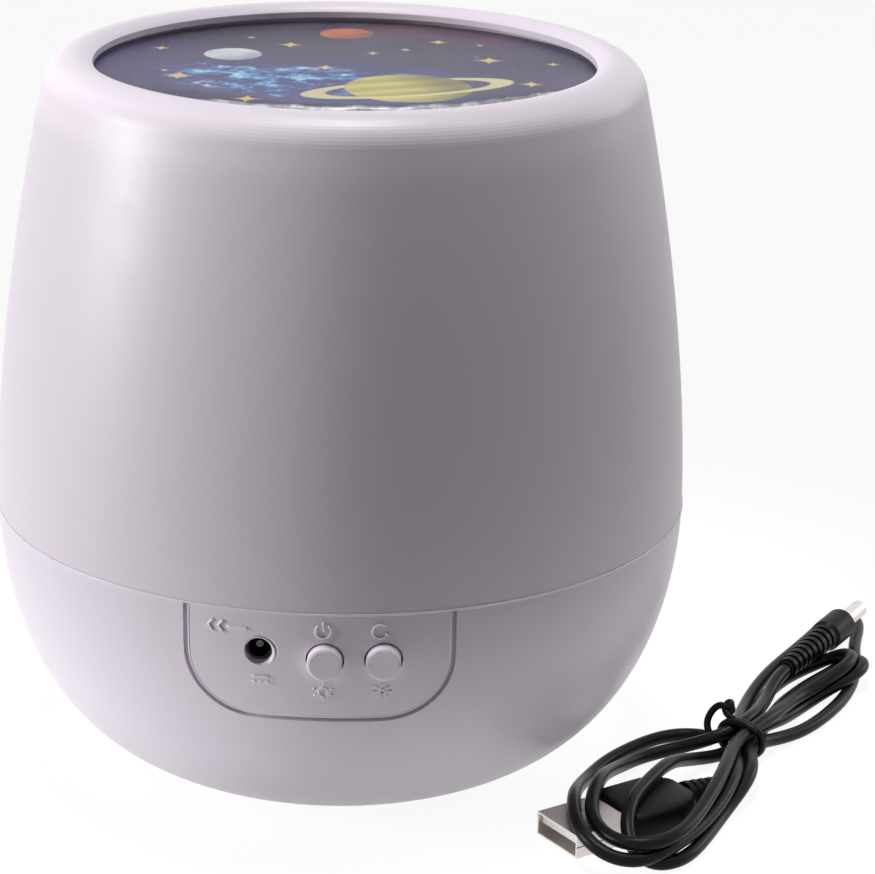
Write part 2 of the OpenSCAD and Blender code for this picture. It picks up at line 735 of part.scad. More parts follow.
module mode_button() {
    button(mode_x);
}

module dc_jack() {
    mouth = wall_y(abs(jack_x) + jack_w / 2, jack_z - jack_h / 2, bowl_wall) + seat_gap;
    color("#151517") difference() {
        union() {
            translate([jack_x - jack_w / 2, mouth, jack_z - jack_h / 2]) cube([jack_w, board_front - mouth, jack_h]);
            bar_y(jack_x, jack_z, jack_hole_d / 2 - 0.12, jack_nose_y, mouth + 1);
        }
        bar_y(jack_x, jack_z, jack_bore_r, jack_nose_y - 1, board_front - 1.2);
    }
}

module dc_jack_pin() {
    color("silver") bar_y(jack_x, jack_z, 0.65, jack_nose_y + 1.2, board_front - 1.2);
}

// ---------------------------------------------------------------- fasteners

module deck_screws() {
    color("silver") for (a = [45:90:315]) rotate([0, 0, a]) translate([deck_post_r, 0, deck_top]) screw(screw_l);
}

module plate_screws() {
    color("silver") plate_screw_places() translate([0, 0, base_z + 0.1 + screw_head_h])
        mirror([0, 0, 1]) screw(screw_l);
}

module motor_screws() {
    color("silver") motor_screw_places() translate([0, 0, motor_top - ear_t]) mirror([0, 0, 1]) screw(motor_screw_l);
}

module board_screws() {
    color("silver") for (s = [-1, 1]) translate([s * board_boss_x, board_front + board_t, board_boss_z])
        rotate([-90, 0, 0]) screw(board_screw_l);
}

// ---------------------------------------------------------------- leads inside the body

lead_d = 1.1;
motor_lead = [[0, 0, -2.6], [0, 0, -4], [0, -2, -6], [0.5, -8, -8.5], [1, -20, -10], [2, -40, -10],
    [3, -58, -8], [4, -70, -2], [5, -75, 3], [5, -76.4, 3.4], [5, -77.4, 3.4]];
lamp_lead = [[0, 0, 72.3], [0, 0, 60], [0, 0, 46], [0, -1, 38], [0, -5, 32], [0, -14, 29],
    [0, -28, 29], [0, -38, 31], [0, -45, 33.6], [0, -47.6, 34], [0, -48.8, 34]];
bay_lead = [[0, 0, 0.1], [0, 0, 2.5], [0, -4, 5], [0, -12, 9], [0, -20, 13], [0, -26, 16],
    [0, -29.6, 17], [0, -30.8, 17]];

module leads(s) {
    board_back = board_front + board_t;
    lead_y = 6.5 - bay_l / 2;
    tube_along([for (p = motor_lead) [4 * s + p.x, motor_y + p.y * (motor_y - board_back) / 77.6,
        motor_top - motor_h + p.z]], lead_d, 8, [1, 0, 0.2]);
    tube_along([for (p = lamp_lead) [1.2 * s - 12 * max(0, -p.y) / 49, p.y * -board_back / 49,
        min(p.z, led_z)]], lead_d, 8, [1, 0, 0.1]);
    tube_along([for (p = bay_lead) [bay_w / 2 - 3.7 + 1.4 * s, lead_y + p.y * (lead_y - board_back) / 31,
        bay_top + bay_wall + p.z]], lead_d, 8, [1, 0, 0.1]);
}

module red_leads() {
    color("#c02020") leads(-1);
}

module black_leads() {
    color("#202020") leads(1);
}

// ---------------------------------------------------------------- power cable

module usb_frame() {
    translate([usb_place.x, usb_place.y, 0]) rotate([0, 0, usb_yaw]) children();
}

module dc_frame() {
    translate([dc_place.x, dc_place.y, dc_mid]) rotate([0, 0, dc_yaw]) rotate([0, 90, 0]) children();
}

module tie_frame() {
    translate([tie_place.x, tie_place.y, 0]) rotate([0, 0, tie_yaw]) children();
}

// The outer shape of the tied hank: two lobes of loops and a narrow neck under the tie.
module cable_hank() {
    lobes = [[[57.5, -46.5, 11.5], [57.8, -22.5, 9.5], [tie_place.x, tie_place.y, neck_r]],
        [[tie_place.x, tie_place.y, neck_r], [91.5, 4.5, 5.5], [100, 28, 9.5]],
        [[100, 28, 9.5], [104.5, 50, 6.5], [106.8, 65.5, 5.5]]];
    usb_long = usb_l + usb_grip_l;
    color("#141416") difference() {
        linear_extrude(hank_h) for (lobe = lobes) hull() for (c = lobe) translate([c.x, c.y]) circle(r = c.z, $fn = 32);
        usb_frame() {
            translate([-5, -7.6, -1]) cube([usb_long + 5, 15.2, 2 * usb_mid + 1.3]);
            translate([usb_long - eps, -3.4, -1]) cube([usb_relief_l + eps, 6.8, 2 * usb_mid + 1.1]);
        }
        dc_frame() {
            translate([0, 0, 0]) cylinder(r = dc_grip_r + 0.2, h = dc_relief_l + dc_grip_l + barrel_l + 4);
            translate([-6, -dc_grip_r - 0.2, 0])
                cube([6, 2 * dc_grip_r + 0.4, dc_relief_l + dc_grip_l + barrel_l + 4]);
        }
        tie_frame() difference() {
            translate([-tie_w / 2 - 0.2, -12, -1]) cube([tie_w + 0.4, 24, hank_h + 2]);
            translate([-tie_w, -neck_r + tie_t, tie_t]) cube([2 * tie_w, 2 * (neck_r - tie_t), hank_h - 2 * tie_t]);
        }
    }
}

module cable_tie() {
    half = neck_r - tie_t + 0.1;
    color("#18181a") tie_frame() difference() {
        translate([-tie_w / 2, -half - tie_t, 0]) cube([tie_w, 2 * (half + tie_t), hank_h]);
        translate([-tie_w, -half, tie_t - 0.1]) cube([2 * tie_w, 2 * half, hank_h - 2 * tie_t + 0.2]);
    }
}

module usb_shell() {
    wall = 0.35;
    color("#c4bcb4") usb_frame() difference() {
        translate([0, -usb_w / 2, usb_mid - usb_h / 2]) cube([usb_l, usb_w, usb_h]);
        translate([-1, -usb_w / 2 + wall, usb_mid - usb_h / 2 + wall])
            cube([usb_l + 2, usb_w - 2 * wall, usb_h - 2 * wall]);
        for (s = [-1, 1]) translate([5.2, s * 2.9 - 1.1, -1]) cube([2.2, 2.2, hank_h]);
    }
}

module usb_tongue() {
    wall = 0.35;
    color("#e8e8e8") usb_frame() {
        translate([0.8, -usb_w / 2 + wall + 0.1, usb_mid + 0.05])
            cube([usb_l - 0.8, usb_w - 2 * wall - 0.2, usb_h / 2 - wall - 0.1]);
        translate([usb_l - 1.6, -usb_w / 2 + wall + 0.1, usb_mid - usb_h / 2 + wall + 0.05])
            cube([1.6, usb_w - 2 * wall - 0.2, usb_h / 2]);
    }
}

module usb_overmould() {
    outline = [[0, -6.6], [0.6, -7.2], [usb_grip_l - 4, -7.2], [usb_grip_l - 1, -5.4], [usb_grip_l, -3.4],
        [usb_grip_l, 3.4], [usb_grip_l - 1, 5.4], [usb_grip_l - 4, 7.2], [0.6, 7.2], [0, 6.6]];
    color("#1a1a1c") usb_frame() translate([usb_l, 0, 0]) linear_extrude(2 * usb_mid) polygon(outline);
}

// A tapered sleeve of rings along +Z, from radius r0 to r1.
module relief(l, r0, r1, count) {
    pitch = l / count;
    rings = [for (i = [0:count - 1]) let (r = r0 + (r1 - r0) * i / count, z = i * pitch)
        each [[r, z], [r, z + pitch * 0.6], [r - 0.45, z + pitch * 0.6], [r - 0.45, z + pitch]]];
    revolve(concat([[0, 0]], rings, [[0, l]]));
}

module usb_strain_relief() {
    color("#1a1a1c") usb_frame() translate([usb_l + usb_grip_l, 0, usb_mid]) rotate([0, 90, 0])
        relief(usb_relief_l, 3, cable_d / 2 + 0.6, 6);
}

module dc_plug_barrel() {
    color("#cfcac4") dc_frame() translate([0, 0, dc_relief_l + dc_grip_l]) difference() {
        cylinder(r = barrel_d / 2, h = barrel_l);
        translate([0, 0, 1]) cylinder(r = 0.7, h = barrel_l);
    }
}

module dc_plug_overmould() {
    color("#1a1a1c") dc_frame() translate([0, 0, dc_relief_l]) revolve([[0, 0], [dc_grip_r - 0.5, 0],
        [dc_grip_r, 0.8], [dc_grip_r, dc_grip_l - 0.8], [dc_grip_r - 0.8, dc_grip_l], [0, dc_grip_l]]);
}

module dc_strain_relief() {
    color("#1a1a1c") dc_frame() translate([0, 0, dc_relief_l]) mirror([0, 0, 1])
        relief(dc_relief_l, dc_grip_r - 0.5, cable_d / 2 + 0.6, 9);
}

base_shell();
control_panel();
bottom_plate();
battery_door();
rubber_feet();
contact_plates();
contact_springs();
deck();
turntable();
drive_pinion();
motor_shaft();
gear_motor();
led_post();
led_board();
projection_led();
ring_leds();
projection_dome();
star_film();
shade();
window_lens();
sky_film();
film_ring();
control_board();
board_parts();
tact_switches();
dc_jack();
dc_jack_pin();
power_button();
mode_button();
deck_screws();
plate_screws();
motor_screws();
board_screws();
red_leads();
black_leads();
cable_hank();
cable_tie();
usb_shell();
usb_tongue();
usb_overmould();
usb_strain_relief();
dc_plug_barrel();
dc_plug_overmould();
dc_strain_relief();
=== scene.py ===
"""Star night light projector: the looks of the lamp, its printed window and its loose power cable."""
import bisect
import math

import bmesh
import bpy
from bpy.props import FloatProperty, FloatVectorProperty, PointerProperty
from mathutils import Matrix, Vector


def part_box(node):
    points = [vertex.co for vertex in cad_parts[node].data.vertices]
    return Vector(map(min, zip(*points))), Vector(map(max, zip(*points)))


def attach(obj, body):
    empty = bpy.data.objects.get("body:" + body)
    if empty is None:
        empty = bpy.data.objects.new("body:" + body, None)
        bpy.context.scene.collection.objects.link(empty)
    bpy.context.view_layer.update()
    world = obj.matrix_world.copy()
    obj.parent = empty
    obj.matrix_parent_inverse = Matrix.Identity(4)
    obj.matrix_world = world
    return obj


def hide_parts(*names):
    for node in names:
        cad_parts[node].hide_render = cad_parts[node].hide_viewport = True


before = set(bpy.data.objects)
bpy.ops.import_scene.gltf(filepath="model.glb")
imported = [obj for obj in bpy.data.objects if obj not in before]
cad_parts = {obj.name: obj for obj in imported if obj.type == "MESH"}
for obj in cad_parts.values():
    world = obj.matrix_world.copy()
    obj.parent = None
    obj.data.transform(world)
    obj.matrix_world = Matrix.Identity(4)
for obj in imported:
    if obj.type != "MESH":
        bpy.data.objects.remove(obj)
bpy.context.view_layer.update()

bl_info = {
    "name": "Star Night Light Projector",
    "version": (1, 0, 0),
    "blender": (4, 5, 0),
    "location": "View3D > Sidebar > Night Light",
    "description": "Finishes, print, panel marks and power cable of a star night light projector",
    "category": "Object",
}

MM = 0.001


def box_mm(node):
    """Lowest and highest corner of a CAD node, in millimetres."""
    low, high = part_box(node)
    return [v / MM for v in low], [v / MM for v in high]


def middle_mm(node):
    """Middle of a CAD node's box, in millimetres."""
    return [(low + high) / 2 for low, high in zip(*box_mm(node))]


BODY_R, _, SEAM_Z = box_mm("base_shell")[1]
PANEL_LOW, PANEL_TOP = box_mm("control_panel")
FILM_LOW, FILM_TOP = box_mm("sky_film")
LENS_LOW, LENS_TOP = box_mm("window_lens")

# Radii of the rings that the flat faces of the pane and the print are divided into.
RINGS = (44.0, 35.0, 26.0, 17.0, 9.0, 3.0, 0.0)

# The middle of the USB shell's mouth, and the way that the plug points back from it.
USB_MOUTH = (42.5, -50.2)
USB_HEADING = math.radians(36)

# The cable's route in millimetres: from the USB plug seven times through the tie to the DC plug.
CABLE_ROUTE = (
    (71.7, -29.1, 3.2), (75.1, -26.6, 3.2), (77.9, -23.6, 2.8), (78.9, -19.6, 2.0), (79.0, -15.5, 1.5),
    (79.2, -11.3, 1.3), (80.0, -7.1, 1.3), (81.2, -3.1, 1.3), (82.6, 0.8, 1.3), (83.9, 4.8, 1.3),
    (85.3, 8.8, 1.3), (86.8, 12.7, 1.3), (88.5, 16.6, 1.3), (90.6, 20.2, 1.3), (92.8, 23.8, 1.3),
    (95.2, 27.2, 1.3), (97.8, 30.6, 1.3), (100.6, 33.7, 1.7), (103.9, 34.9, 3.5), (106.1, 31.7, 4.4),
    (105.2, 27.7, 4.3), (102.6, 24.4, 4.0), (99.4, 21.9, 3.1), (96.2, 19.4, 2.1), (93.3, 16.4, 1.4),
    (90.9, 13.0, 1.3), (88.9, 9.3, 1.7), (87.0, 5.6, 2.4), (84.9, 2.0, 3.2), (82.6, -1.4, 3.7),
    (80.2, -4.8, 3.8), (78.1, -8.5, 3.5), (77.0, -12.5, 3.4), (76.8, -16.7, 3.9), (76.8, -20.8, 4.8),
    (76.5, -24.9, 5.6), (75.6, -29.0, 5.8), (74.4, -33.0, 5.4), (72.9, -36.9, 4.8), (71.2, -40.7, 4.3),
    (69.3, -44.4, 3.9), (67.3, -48.1, 3.7), (65.1, -51.7, 3.7), (62.8, -55.2, 3.8), (60.0, -58.4, 3.7),
    (56.4, -60.4, 3.5), (52.3, -60.4, 4.0), (48.8, -58.4, 5.3), (46.6, -55.2, 6.6), (45.6, -51.2, 7.3),
    (45.4, -47.0, 7.4), (45.5, -42.8, 7.0), (45.8, -38.7, 6.2), (46.2, -34.7, 5.0), (46.7, -30.7, 3.7),
    (47.4, -26.7, 2.6), (48.4, -22.7, 1.7), (49.8, -18.8, 1.3), (51.7, -15.0, 1.3), (54.0, -11.5, 1.3),
    (56.6, -8.2, 1.3), (59.5, -5.1, 1.3), (62.7, -2.4, 1.3), (66.4, -0.5, 1.3), (70.5, -0.8, 1.5),
    (73.5, -3.6, 2.2), (76.5, -5.2, 3.6), (77.9, -1.3, 3.7), (78.6, 2.8, 3.2), (79.2, 6.9, 2.6),
    (80.0, 11.0, 2.0), (80.9, 15.1, 1.5), (82.0, 19.2, 1.3), (83.3, 23.2, 1.3), (84.8, 27.1, 1.3),
    (86.4, 31.0, 1.3), (88.2, 34.8, 1.3), (90.1, 38.5, 1.3), (92.1, 42.2, 1.3), (94.0, 45.9, 1.3),
    (96.0, 49.7, 1.3), (97.8, 53.4, 1.3), (99.6, 57.3, 1.3), (101.5, 61.0, 1.3), (104.3, 64.1, 1.3),
    (107.5, 62.5, 1.3), (107.7, 58.4, 1.3), (107.0, 54.2, 1.3), (106.2, 50.1, 1.3), (105.6, 46.0, 1.3),
    (105.3, 41.8, 1.3), (105.0, 37.6, 1.3), (104.5, 33.4, 1.3), (103.7, 29.3, 1.3), (102.7, 25.2, 1.3),
    (101.4, 21.2, 1.3), (99.8, 17.3, 1.3), (97.9, 13.5, 1.3), (95.9, 9.9, 1.3), (93.6, 6.3, 1.3),
    (91.1, 3.0, 1.3), (88.3, -0.1, 1.6), (85.4, -3.1, 2.1), (82.6, -6.2, 2.9), (80.5, -9.7, 3.6),
    (79.5, -13.8, 4.2), (79.5, -17.9, 4.7), (79.5, -22.1, 5.0), (78.6, -26.2, 4.5), (76.8, -29.8, 3.3),
    (74.8, -33.3, 2.2), (73.0, -37.0, 1.6), (71.4, -40.9, 1.3), (69.9, -44.8, 1.3), (68.3, -48.7, 1.3),
    (66.4, -52.5, 1.3), (63.8, -55.7, 1.3), (60.0, -57.3, 1.4), (56.4, -55.8, 2.7), (55.0, -52.6, 5.0),
    (55.1, -48.9, 7.0), (56.0, -44.9, 7.9), (57.3, -41.0, 7.9), (58.9, -37.0, 7.9), (60.6, -33.2, 7.9),
    (62.3, -29.4, 7.7), (64.0, -25.6, 6.9), (65.5, -21.9, 5.6), (67.2, -18.3, 4.1), (69.2, -14.9, 2.8),
    (71.9, -11.9, 1.8), (75.0, -9.1, 1.3), (77.6, -5.8, 1.3), (79.1, -1.9, 1.3), (80.3, 2.1, 1.3),
    (81.5, 6.2, 1.3), (82.5, 10.3, 1.3), (83.4, 14.3, 1.3), (84.6, 18.4, 1.3), (86.2, 22.3, 1.3),
    (88.1, 26.0, 1.3), (90.4, 29.6, 1.3), (93.1, 32.7, 1.4), (96.5, 35.0, 2.1), (100.2, 35.0, 4.0),
    (102.7, 32.4, 5.8), (103.2, 28.4, 6.7), (101.7, 24.5, 6.5), (99.0, 21.4, 5.8), (95.9, 18.7, 4.8),
    (92.9, 15.9, 4.1), (90.4, 12.5, 4.1), (88.6, 8.7, 4.5), (87.1, 4.9, 5.2), (85.5, 1.0, 5.8),
    (83.5, -2.7, 6.1), (81.1, -6.1, 6.0), (78.9, -9.7, 5.9), (77.2, -13.5, 6.2), (76.1, -17.5, 6.7),
    (75.3, -21.6, 7.2), (74.5, -25.7, 7.6), (73.6, -29.8, 7.8), (72.5, -33.9, 7.8), (71.3, -37.9, 7.6),
    (69.9, -41.9, 7.2), (68.4, -45.8, 6.8), (66.8, -49.6, 6.5), (64.9, -53.4, 6.4), (62.4, -56.8, 6.4),
    (59.0, -59.1, 6.4), (54.9, -58.9, 6.1), (51.6, -56.4, 6.2), (49.5, -52.7, 6.6), (48.7, -48.7, 7.0),
    (48.7, -44.5, 7.4), (49.3, -40.3, 7.8), (50.2, -36.2, 7.6), (51.0, -32.2, 6.8), (51.9, -28.3, 5.6),
    (52.9, -24.4, 4.3), (54.1, -20.6, 3.1), (55.7, -16.8, 2.1), (57.8, -13.2, 1.5), (60.8, -10.3, 1.3),
    (64.6, -8.6, 1.7), (68.7, -8.4, 2.8), (72.6, -8.4, 4.2), (76.4, -7.3, 5.6), (79.1, -4.3, 6.1),
    (81.0, -0.5, 5.9), (82.3, 3.4, 5.3), (83.5, 7.4, 4.7), (84.6, 11.5, 4.4), (85.8, 15.5, 4.7),
    (87.2, 19.4, 5.3), (89.1, 23.1, 5.7), (91.1, 26.8, 5.7),
)


# Sizes and colours that a user would change


def angle_setting(name, description, degrees):
    return FloatProperty(name=name, description=description, default=math.radians(degrees), subtype="ANGLE")


def power_setting(name, description, watts):
    return FloatProperty(name=name, description=description, default=watts, min=0.0, unit="POWER")


def length_setting(name, description, metres, least=0.0):
    return FloatProperty(name=name, description=description, default=metres, min=least, unit="LENGTH")


def colour_setting(name, description, levels):
    return FloatVectorProperty(
        name=name, description=description, default=levels, subtype="COLOR", min=0.0, max=1.0
    )


class StageSettings(bpy.types.PropertyGroup):
    lens: FloatProperty(name="Lens", description="Focal length of the camera", default=124.2, unit="CAMERA")
    camera_place: FloatVectorProperty(
        name="Camera Place",
        description="Where the camera stands",
        default=(0.0320, -0.5434, 0.2467),
        subtype="TRANSLATION",
        unit="LENGTH",
    )
    camera_pitch: angle_setting("Camera Pitch", "How far the camera looks down", 18.835)
    camera_heading: angle_setting("Camera Heading", "Turn of the camera to the left of straight ahead", 1.457)
    camera_roll: angle_setting("Camera Roll", "Roll of the camera", 1.189)
    key: power_setting("Key Light", "Power of the large light on the left", 10.1)
    top: power_setting("Top Light", "Power of the light overhead", 9.3)
    rim: power_setting("Rim Light", "Power of each of the two lights on the right", 1.5)
    fill: FloatProperty(name="Fill", description="Strength of the room's light", default=0.0, min=0.0)


class BodySettings(bpy.types.PropertyGroup):
    bowl_colour: colour_setting("Bowl Colour", "Moulding colour of the base", (0.86, 0.785, 0.875))
    shade_colour: colour_setting("Shade Colour", "Moulding colour of the milky shade", (0.80, 0.725, 0.81))
    lip_rise: length_setting("Lip Rise", "How far the bowl's rim stands proud at the seam", 0.00022)
    lip_height: length_setting("Lip Height", "Height of the proud rim", 0.00045)
    mark_rise: length_setting("Mark Rise", "How far the panel's marks stand out", 0.00028)
    mark_line: length_setting("Mark Line", "Line width of the panel's marks", 0.00036)


class PrintSettings(bpy.types.PropertyGroup):
    sky_colour: colour_setting("Sky Colour", "Deep colour of the printed sky", (0.008, 0.011, 0.05))
    cloud_colour: colour_setting("Cloud Colour", "Colour of the printed star cloud", (0.10, 0.46, 0.86))
    planet_colour: colour_setting("Planet Colour", "Colour of the ringed planet", (0.86, 0.70, 0.16))


class CableSettings(bpy.types.PropertyGroup):
    diameter: length_setting("Cable Diameter", "Thickness of the cable", 0.0026, 0.001)
    jacket_colour: colour_setting("Jacket Colour", "Colour of the cable's jacket", (0.006, 0.006, 0.007))
    tie_wire: length_setting("Tie Wire", "Thickness of the twist tie", 0.0014, 0.0005)


def settings(name):
    """A group of the add-on's settings."""
    return getattr(bpy.context.scene, "night_light_" + name)


# Materials


class Value:
    """An output in a material. Arithmetic on it adds the Math nodes."""

    def __init__(self, finish, output):
        self.finish = finish
        self.output = output

    def _math(self, operation, *terms):
        return self.finish.node("ShaderNodeMath", {"operation": operation}, dict(enumerate(terms)))

    def __add__(self, other):
        return self._math("ADD", self, other)

    def __radd__(self, other):
        return self._math("ADD", other, self)

    def __sub__(self, other):
        return self._math("SUBTRACT", self, other)

    def __rsub__(self, other):
        return self._math("SUBTRACT", other, self)

    def __mul__(self, other):
        return self._math("MULTIPLY", self, other)

    def __truediv__(self, other):
        return self._math("DIVIDE", self, other)

    def __pow__(self, other):
        return self._math("POWER", self, other)

    def __abs__(self):
        return self._math("ABSOLUTE", self)

    def sine(self):
        return self._math("SINE", self)

    def root(self):
        return self._math("SQRT", self)

    def most(self, other):
        return self._math("MAXIMUM", self, other)

    def ramp(self, start, end, low=0.0, high=1.0):
        """Smoothly from low at start to high at end."""
        return self.finish.node(
            "ShaderNodeMapRange",
            {"interpolation_type": "SMOOTHSTEP"},
            {"Value": self, "From Min": start, "From Max": end, "To Min": low, "To Max": high},
        )


class Finish:
    """A material in the making: its nodes, and the shader that they feed."""

    def __init__(self, name, **uniform):
        self.material = bpy.data.materials.new(name)
        self.material.use_nodes = True
        self.tree = self.material.node_tree
        self.shader = self.tree.nodes["Principled BSDF"]
        for socket, value in uniform.items():
            self.feed(self.shader, socket.replace("_", " ").title().replace("Ior", "IOR"), value)

    def feed(self, node, socket, value):
        """Links a Value to a socket, or sets the socket's own value."""
        if isinstance(value, Value):
            self.tree.links.new(value.output, node.inputs[socket])
        else:
            target = node.inputs[socket]
            if hasattr(value, "__len__") and len(value) == 3 and len(target.default_value) == 4:
                value = (*value, 1.0)
            target.default_value = value

    def node(self, kind, choices=None, inputs=None, output=0):
        """A new node with its choices set, its sockets fed, and the wanted output as a Value."""
        made = self.tree.nodes.new(kind)
        for key, value in (choices or {}).items():
            setattr(made, key, value)
        for socket, value in (inputs or {}).items():
            self.feed(made, socket, value)
        return Value(self, made.outputs[output])

    def place(self, centre=(0.0, 0.0, 0.0), turn=(0.0, 0.0, 0.0), scale=(1.0, 1.0, 1.0)):
        """Object coordinates in millimetres from a centre, then turned and stretched."""
        here = self.node("ShaderNodeTexCoord", output="Object")
        offset = [-v for v in centre]
        centred = self.node(
            "ShaderNodeMapping", inputs={"Vector": here, "Location": offset, "Scale": (1 / MM,) * 3}
        )
        if any(turn) or scale != (1.0, 1.0, 1.0):
            return self.node("ShaderNodeMapping", inputs={"Vector": centred, "Rotation": turn, "Scale": scale})
        return centred

    def parts(self, vector):
        """The three numbers of a vector."""
        split = self.tree.nodes.new("ShaderNodeSeparateXYZ")
        self.tree.links.new(vector.output, split.inputs[0])
        return [Value(self, split.outputs[i]) for i in range(3)]

    def noise(self, vector, size, detail=2.0, rough=0.5):
        """Noise from 0 to 1 with features of about this size."""
        inputs = {"Vector": vector, "Scale": 1.0 / size, "Detail": detail, "Roughness": rough}
        return self.node("ShaderNodeTexNoise", {}, inputs)

    def mix(self, factor, a, b):
        """One colour turned into another by a factor."""
        return self.node("ShaderNodeMix", {"data_type": "RGBA"}, {0: factor, 6: a, 7: b}, output=2)

    def surface(self, colour=None, roughness=None, height=None, depth=0.05, alpha=None):
        """Feeds what varies over the surface. Depth is the height's full range in millimetres."""
        if colour is not None:
            self.feed(self.shader, "Base Color", colour)
        if roughness is not None:
            self.feed(self.shader, "Roughness", roughness)
        if alpha is not None:
            self.feed(self.shader, "Alpha", alpha)
        if height is not None:
            bump = self.node("ShaderNodeBump", {}, {"Strength": 1.0, "Distance": depth * MM, "Height": height})
            self.feed(self.shader, "Normal", bump)
        return self.material


def dress(material, *nodes):
    """Gives CAD nodes a material."""
    for node in nodes:
        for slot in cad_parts[node].material_slots:
            slot.material = material


def tinted(colour, factor):
    """A lighter or darker colour."""
    return [min(1.0, c * factor) for c in colour]


def moulded(name, colour, roughness, grain=0.5, depth=0.004, drift=0.02, **uniform):
    """A moulded plastic: a faint drift of colour, uneven gloss and a fine grain."""
    finish = Finish(name, **uniform)
    here = finish.place()
    flow = finish.noise(here, 28.0, 3.0)
    fine = finish.noise(here, grain, 2.0)
    wear = finish.noise(here, 6.0, 4.0, 0.6)
    tone = finish.mix(flow.ramp(0.3, 0.7), tinted(colour, 1 - drift), tinted(colour, 1 + drift))
    return finish.surface(tone, roughness + (wear - 0.5) * (roughness * 0.3), fine, depth)


def metal(name, colour, roughness, turn=(0.0, 0.0, 0.0)):
    """A plated metal with fine lines drawn along it and faint clouding."""
    finish = Finish(name, metallic=1.0)
    here = finish.place()
    drawn = finish.noise(finish.place(turn=turn, scale=(0.08, 1.0, 1.0)), 0.25, 3.0)
    cloud = finish.noise(here, 4.0, 4.0, 0.6)
    tone = finish.mix(cloud.ramp(0.3, 0.7), tinted(colour, 0.93), colour)
    return finish.surface(tone, roughness + (cloud - 0.5) * 0.12, drawn, 0.006)


# Modelling


def placed(name, data):
    """A new object in the scene."""
    thing = bpy.data.objects.new(name, data)
    bpy.context.scene.collection.objects.link(thing)
    return thing


def model(bm, name, material, body="root", replaces=(), smooth=True):
    """Turns a bmesh in millimetres into a piece that rides on a body."""
    bmesh.ops.remove_doubles(bm, verts=bm.verts, dist=1e-4)
    bmesh.ops.recalc_face_normals(bm, faces=bm.faces)
    bmesh.ops.scale(bm, vec=(MM,) * 3, verts=bm.verts)
    mesh = bpy.data.meshes.new(name)
    bm.to_mesh(mesh)
    bm.free()
    for polygon in mesh.polygons:
        polygon.use_smooth = smooth
    piece = placed(name, mesh)
    mesh.materials.append(material)
    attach(piece, body)
    if replaces:
        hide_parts(*replaces)
    return piece


def bowl_radius(z):
    """Outer radius of the bowl at a height, on the curve that the base is turned from."""
    radii, heights = (35.1, 62.6, BODY_R, BODY_R), (0.8, 8.9, 41.3, SEAM_Z)

    def bezier(t, a, b, c, d):
        return (1 - t) ** 3 * a + 3 * (1 - t) ** 2 * t * b + 3 * (1 - t) * t * t * c + t ** 3 * d

    start, end = 0.0, 1.0
    for _ in range(40):
        t = (start + end) / 2
        start, end = (t, end) if bezier(t, *heights) < z else (start, t)
    return bezier(t, *radii)


def spun(profile, steps=96, angle=math.tau, closed=True):
    """A (radius, height) profile spun about Z, with its ends capped where the turn isn't full."""
    part = bmesh.new()
    verts = [part.verts.new((r, 0.0, z)) for r, z in profile]
    following = verts[1:] + verts[:1] if closed else verts[1:]
    edges = [part.edges.new(pair) for pair in zip(verts, following)]
    full = abs(angle - math.tau) < 1e-6
    bmesh.ops.spin(
        part, geom=verts + edges, cent=(0, 0, 0), axis=(0, 0, 1), angle=angle, steps=steps, use_merge=full
    )
    if not full:
        bmesh.ops.holes_fill(part, edges=[e for e in part.edges if e.is_boundary])
    return part


def add(bm, part, place=Matrix()):
    """Puts a finished part into a bmesh."""
    bmesh.ops.transform(part, matrix=place, verts=part.verts)
    mesh = bpy.data.meshes.new("part")
    part.to_mesh(mesh)
    part.free()
    bm.from_mesh(mesh)
    bpy.data.meshes.remove(mesh)


# A mark's line starts this far inside the bowl, and its crown is this part of its foot's width.
SUNK = 0.2
CROWN = 0.6


def arc(bm, centre, radius, width, height, start=0.0, sweep=math.tau):
    """A flat arc line of a mark: sunk a little, and standing out by height."""
    half, crown = width / 2, width / 2 * CROWN
    profile = [
        (radius - half, -SUNK), (radius + half, -SUNK), (radius + crown, height), (radius - crown, height)
    ]
    steps = max(6, round(28 * sweep / math.tau))
    add(bm, spun(profile, steps, sweep), Matrix.Translation((*centre, 0)) @ Matrix.Rotation(start, 4, "Z"))


def bar(bm, a, b, width, height):
    """A flat straight line of a mark from a to b."""
    a, b = Vector((*a, 0)), Vector((*b, 0))
    part = bmesh.new()
    bmesh.ops.create_cube(part, size=1.0)
    along = [edge for edge in part.edges if abs(edge.verts[0].co.x - edge.verts[1].co.x) > 0.5]
    bmesh.ops.subdivide_edges(part, edges=along, cuts=max(1, round((b - a).length / 0.4)))
    bmesh.ops.scale(part, vec=((b - a).length, width, height + SUNK), verts=part.verts)
    bmesh.ops.translate(part, vec=(0, 0, (height - SUNK) / 2), verts=part.verts)
    top = [v for v in part.verts if v.co.z > 0]
    bmesh.ops.scale(part, vec=(1.0, CROWN, 1.0), verts=top)
    turn = math.atan2(b.y - a.y, b.x - a.x)
    add(bm, part, Matrix.Translation((a + b) / 2) @ Matrix.Rotation(turn, 4, "Z"))


def ray(bm, centre, turn, inner, outer, width, height):
    """A flat straight line of a mark, from one distance from a centre to another."""
    ends = [(centre[0] + math.cos(turn) * far, centre[1] + math.sin(turn) * far) for far in (inner, outer)]
    bar(bm, *ends, width, height)


def wedge(bm, centre, size, turn, height):
    """A flat three-cornered arrow head."""
    part = bmesh.new()
    bmesh.ops.create_cone(
        part, cap_ends=True, segments=3, radius1=size, radius2=size * 0.8, depth=height + SUNK
    )
    bmesh.ops.translate(part, vec=(0, 0, (height - SUNK) / 2), verts=part.verts)
    add(bm, part, Matrix.Translation((*centre, 0)) @ Matrix.Rotation(turn, 4, "Z"))


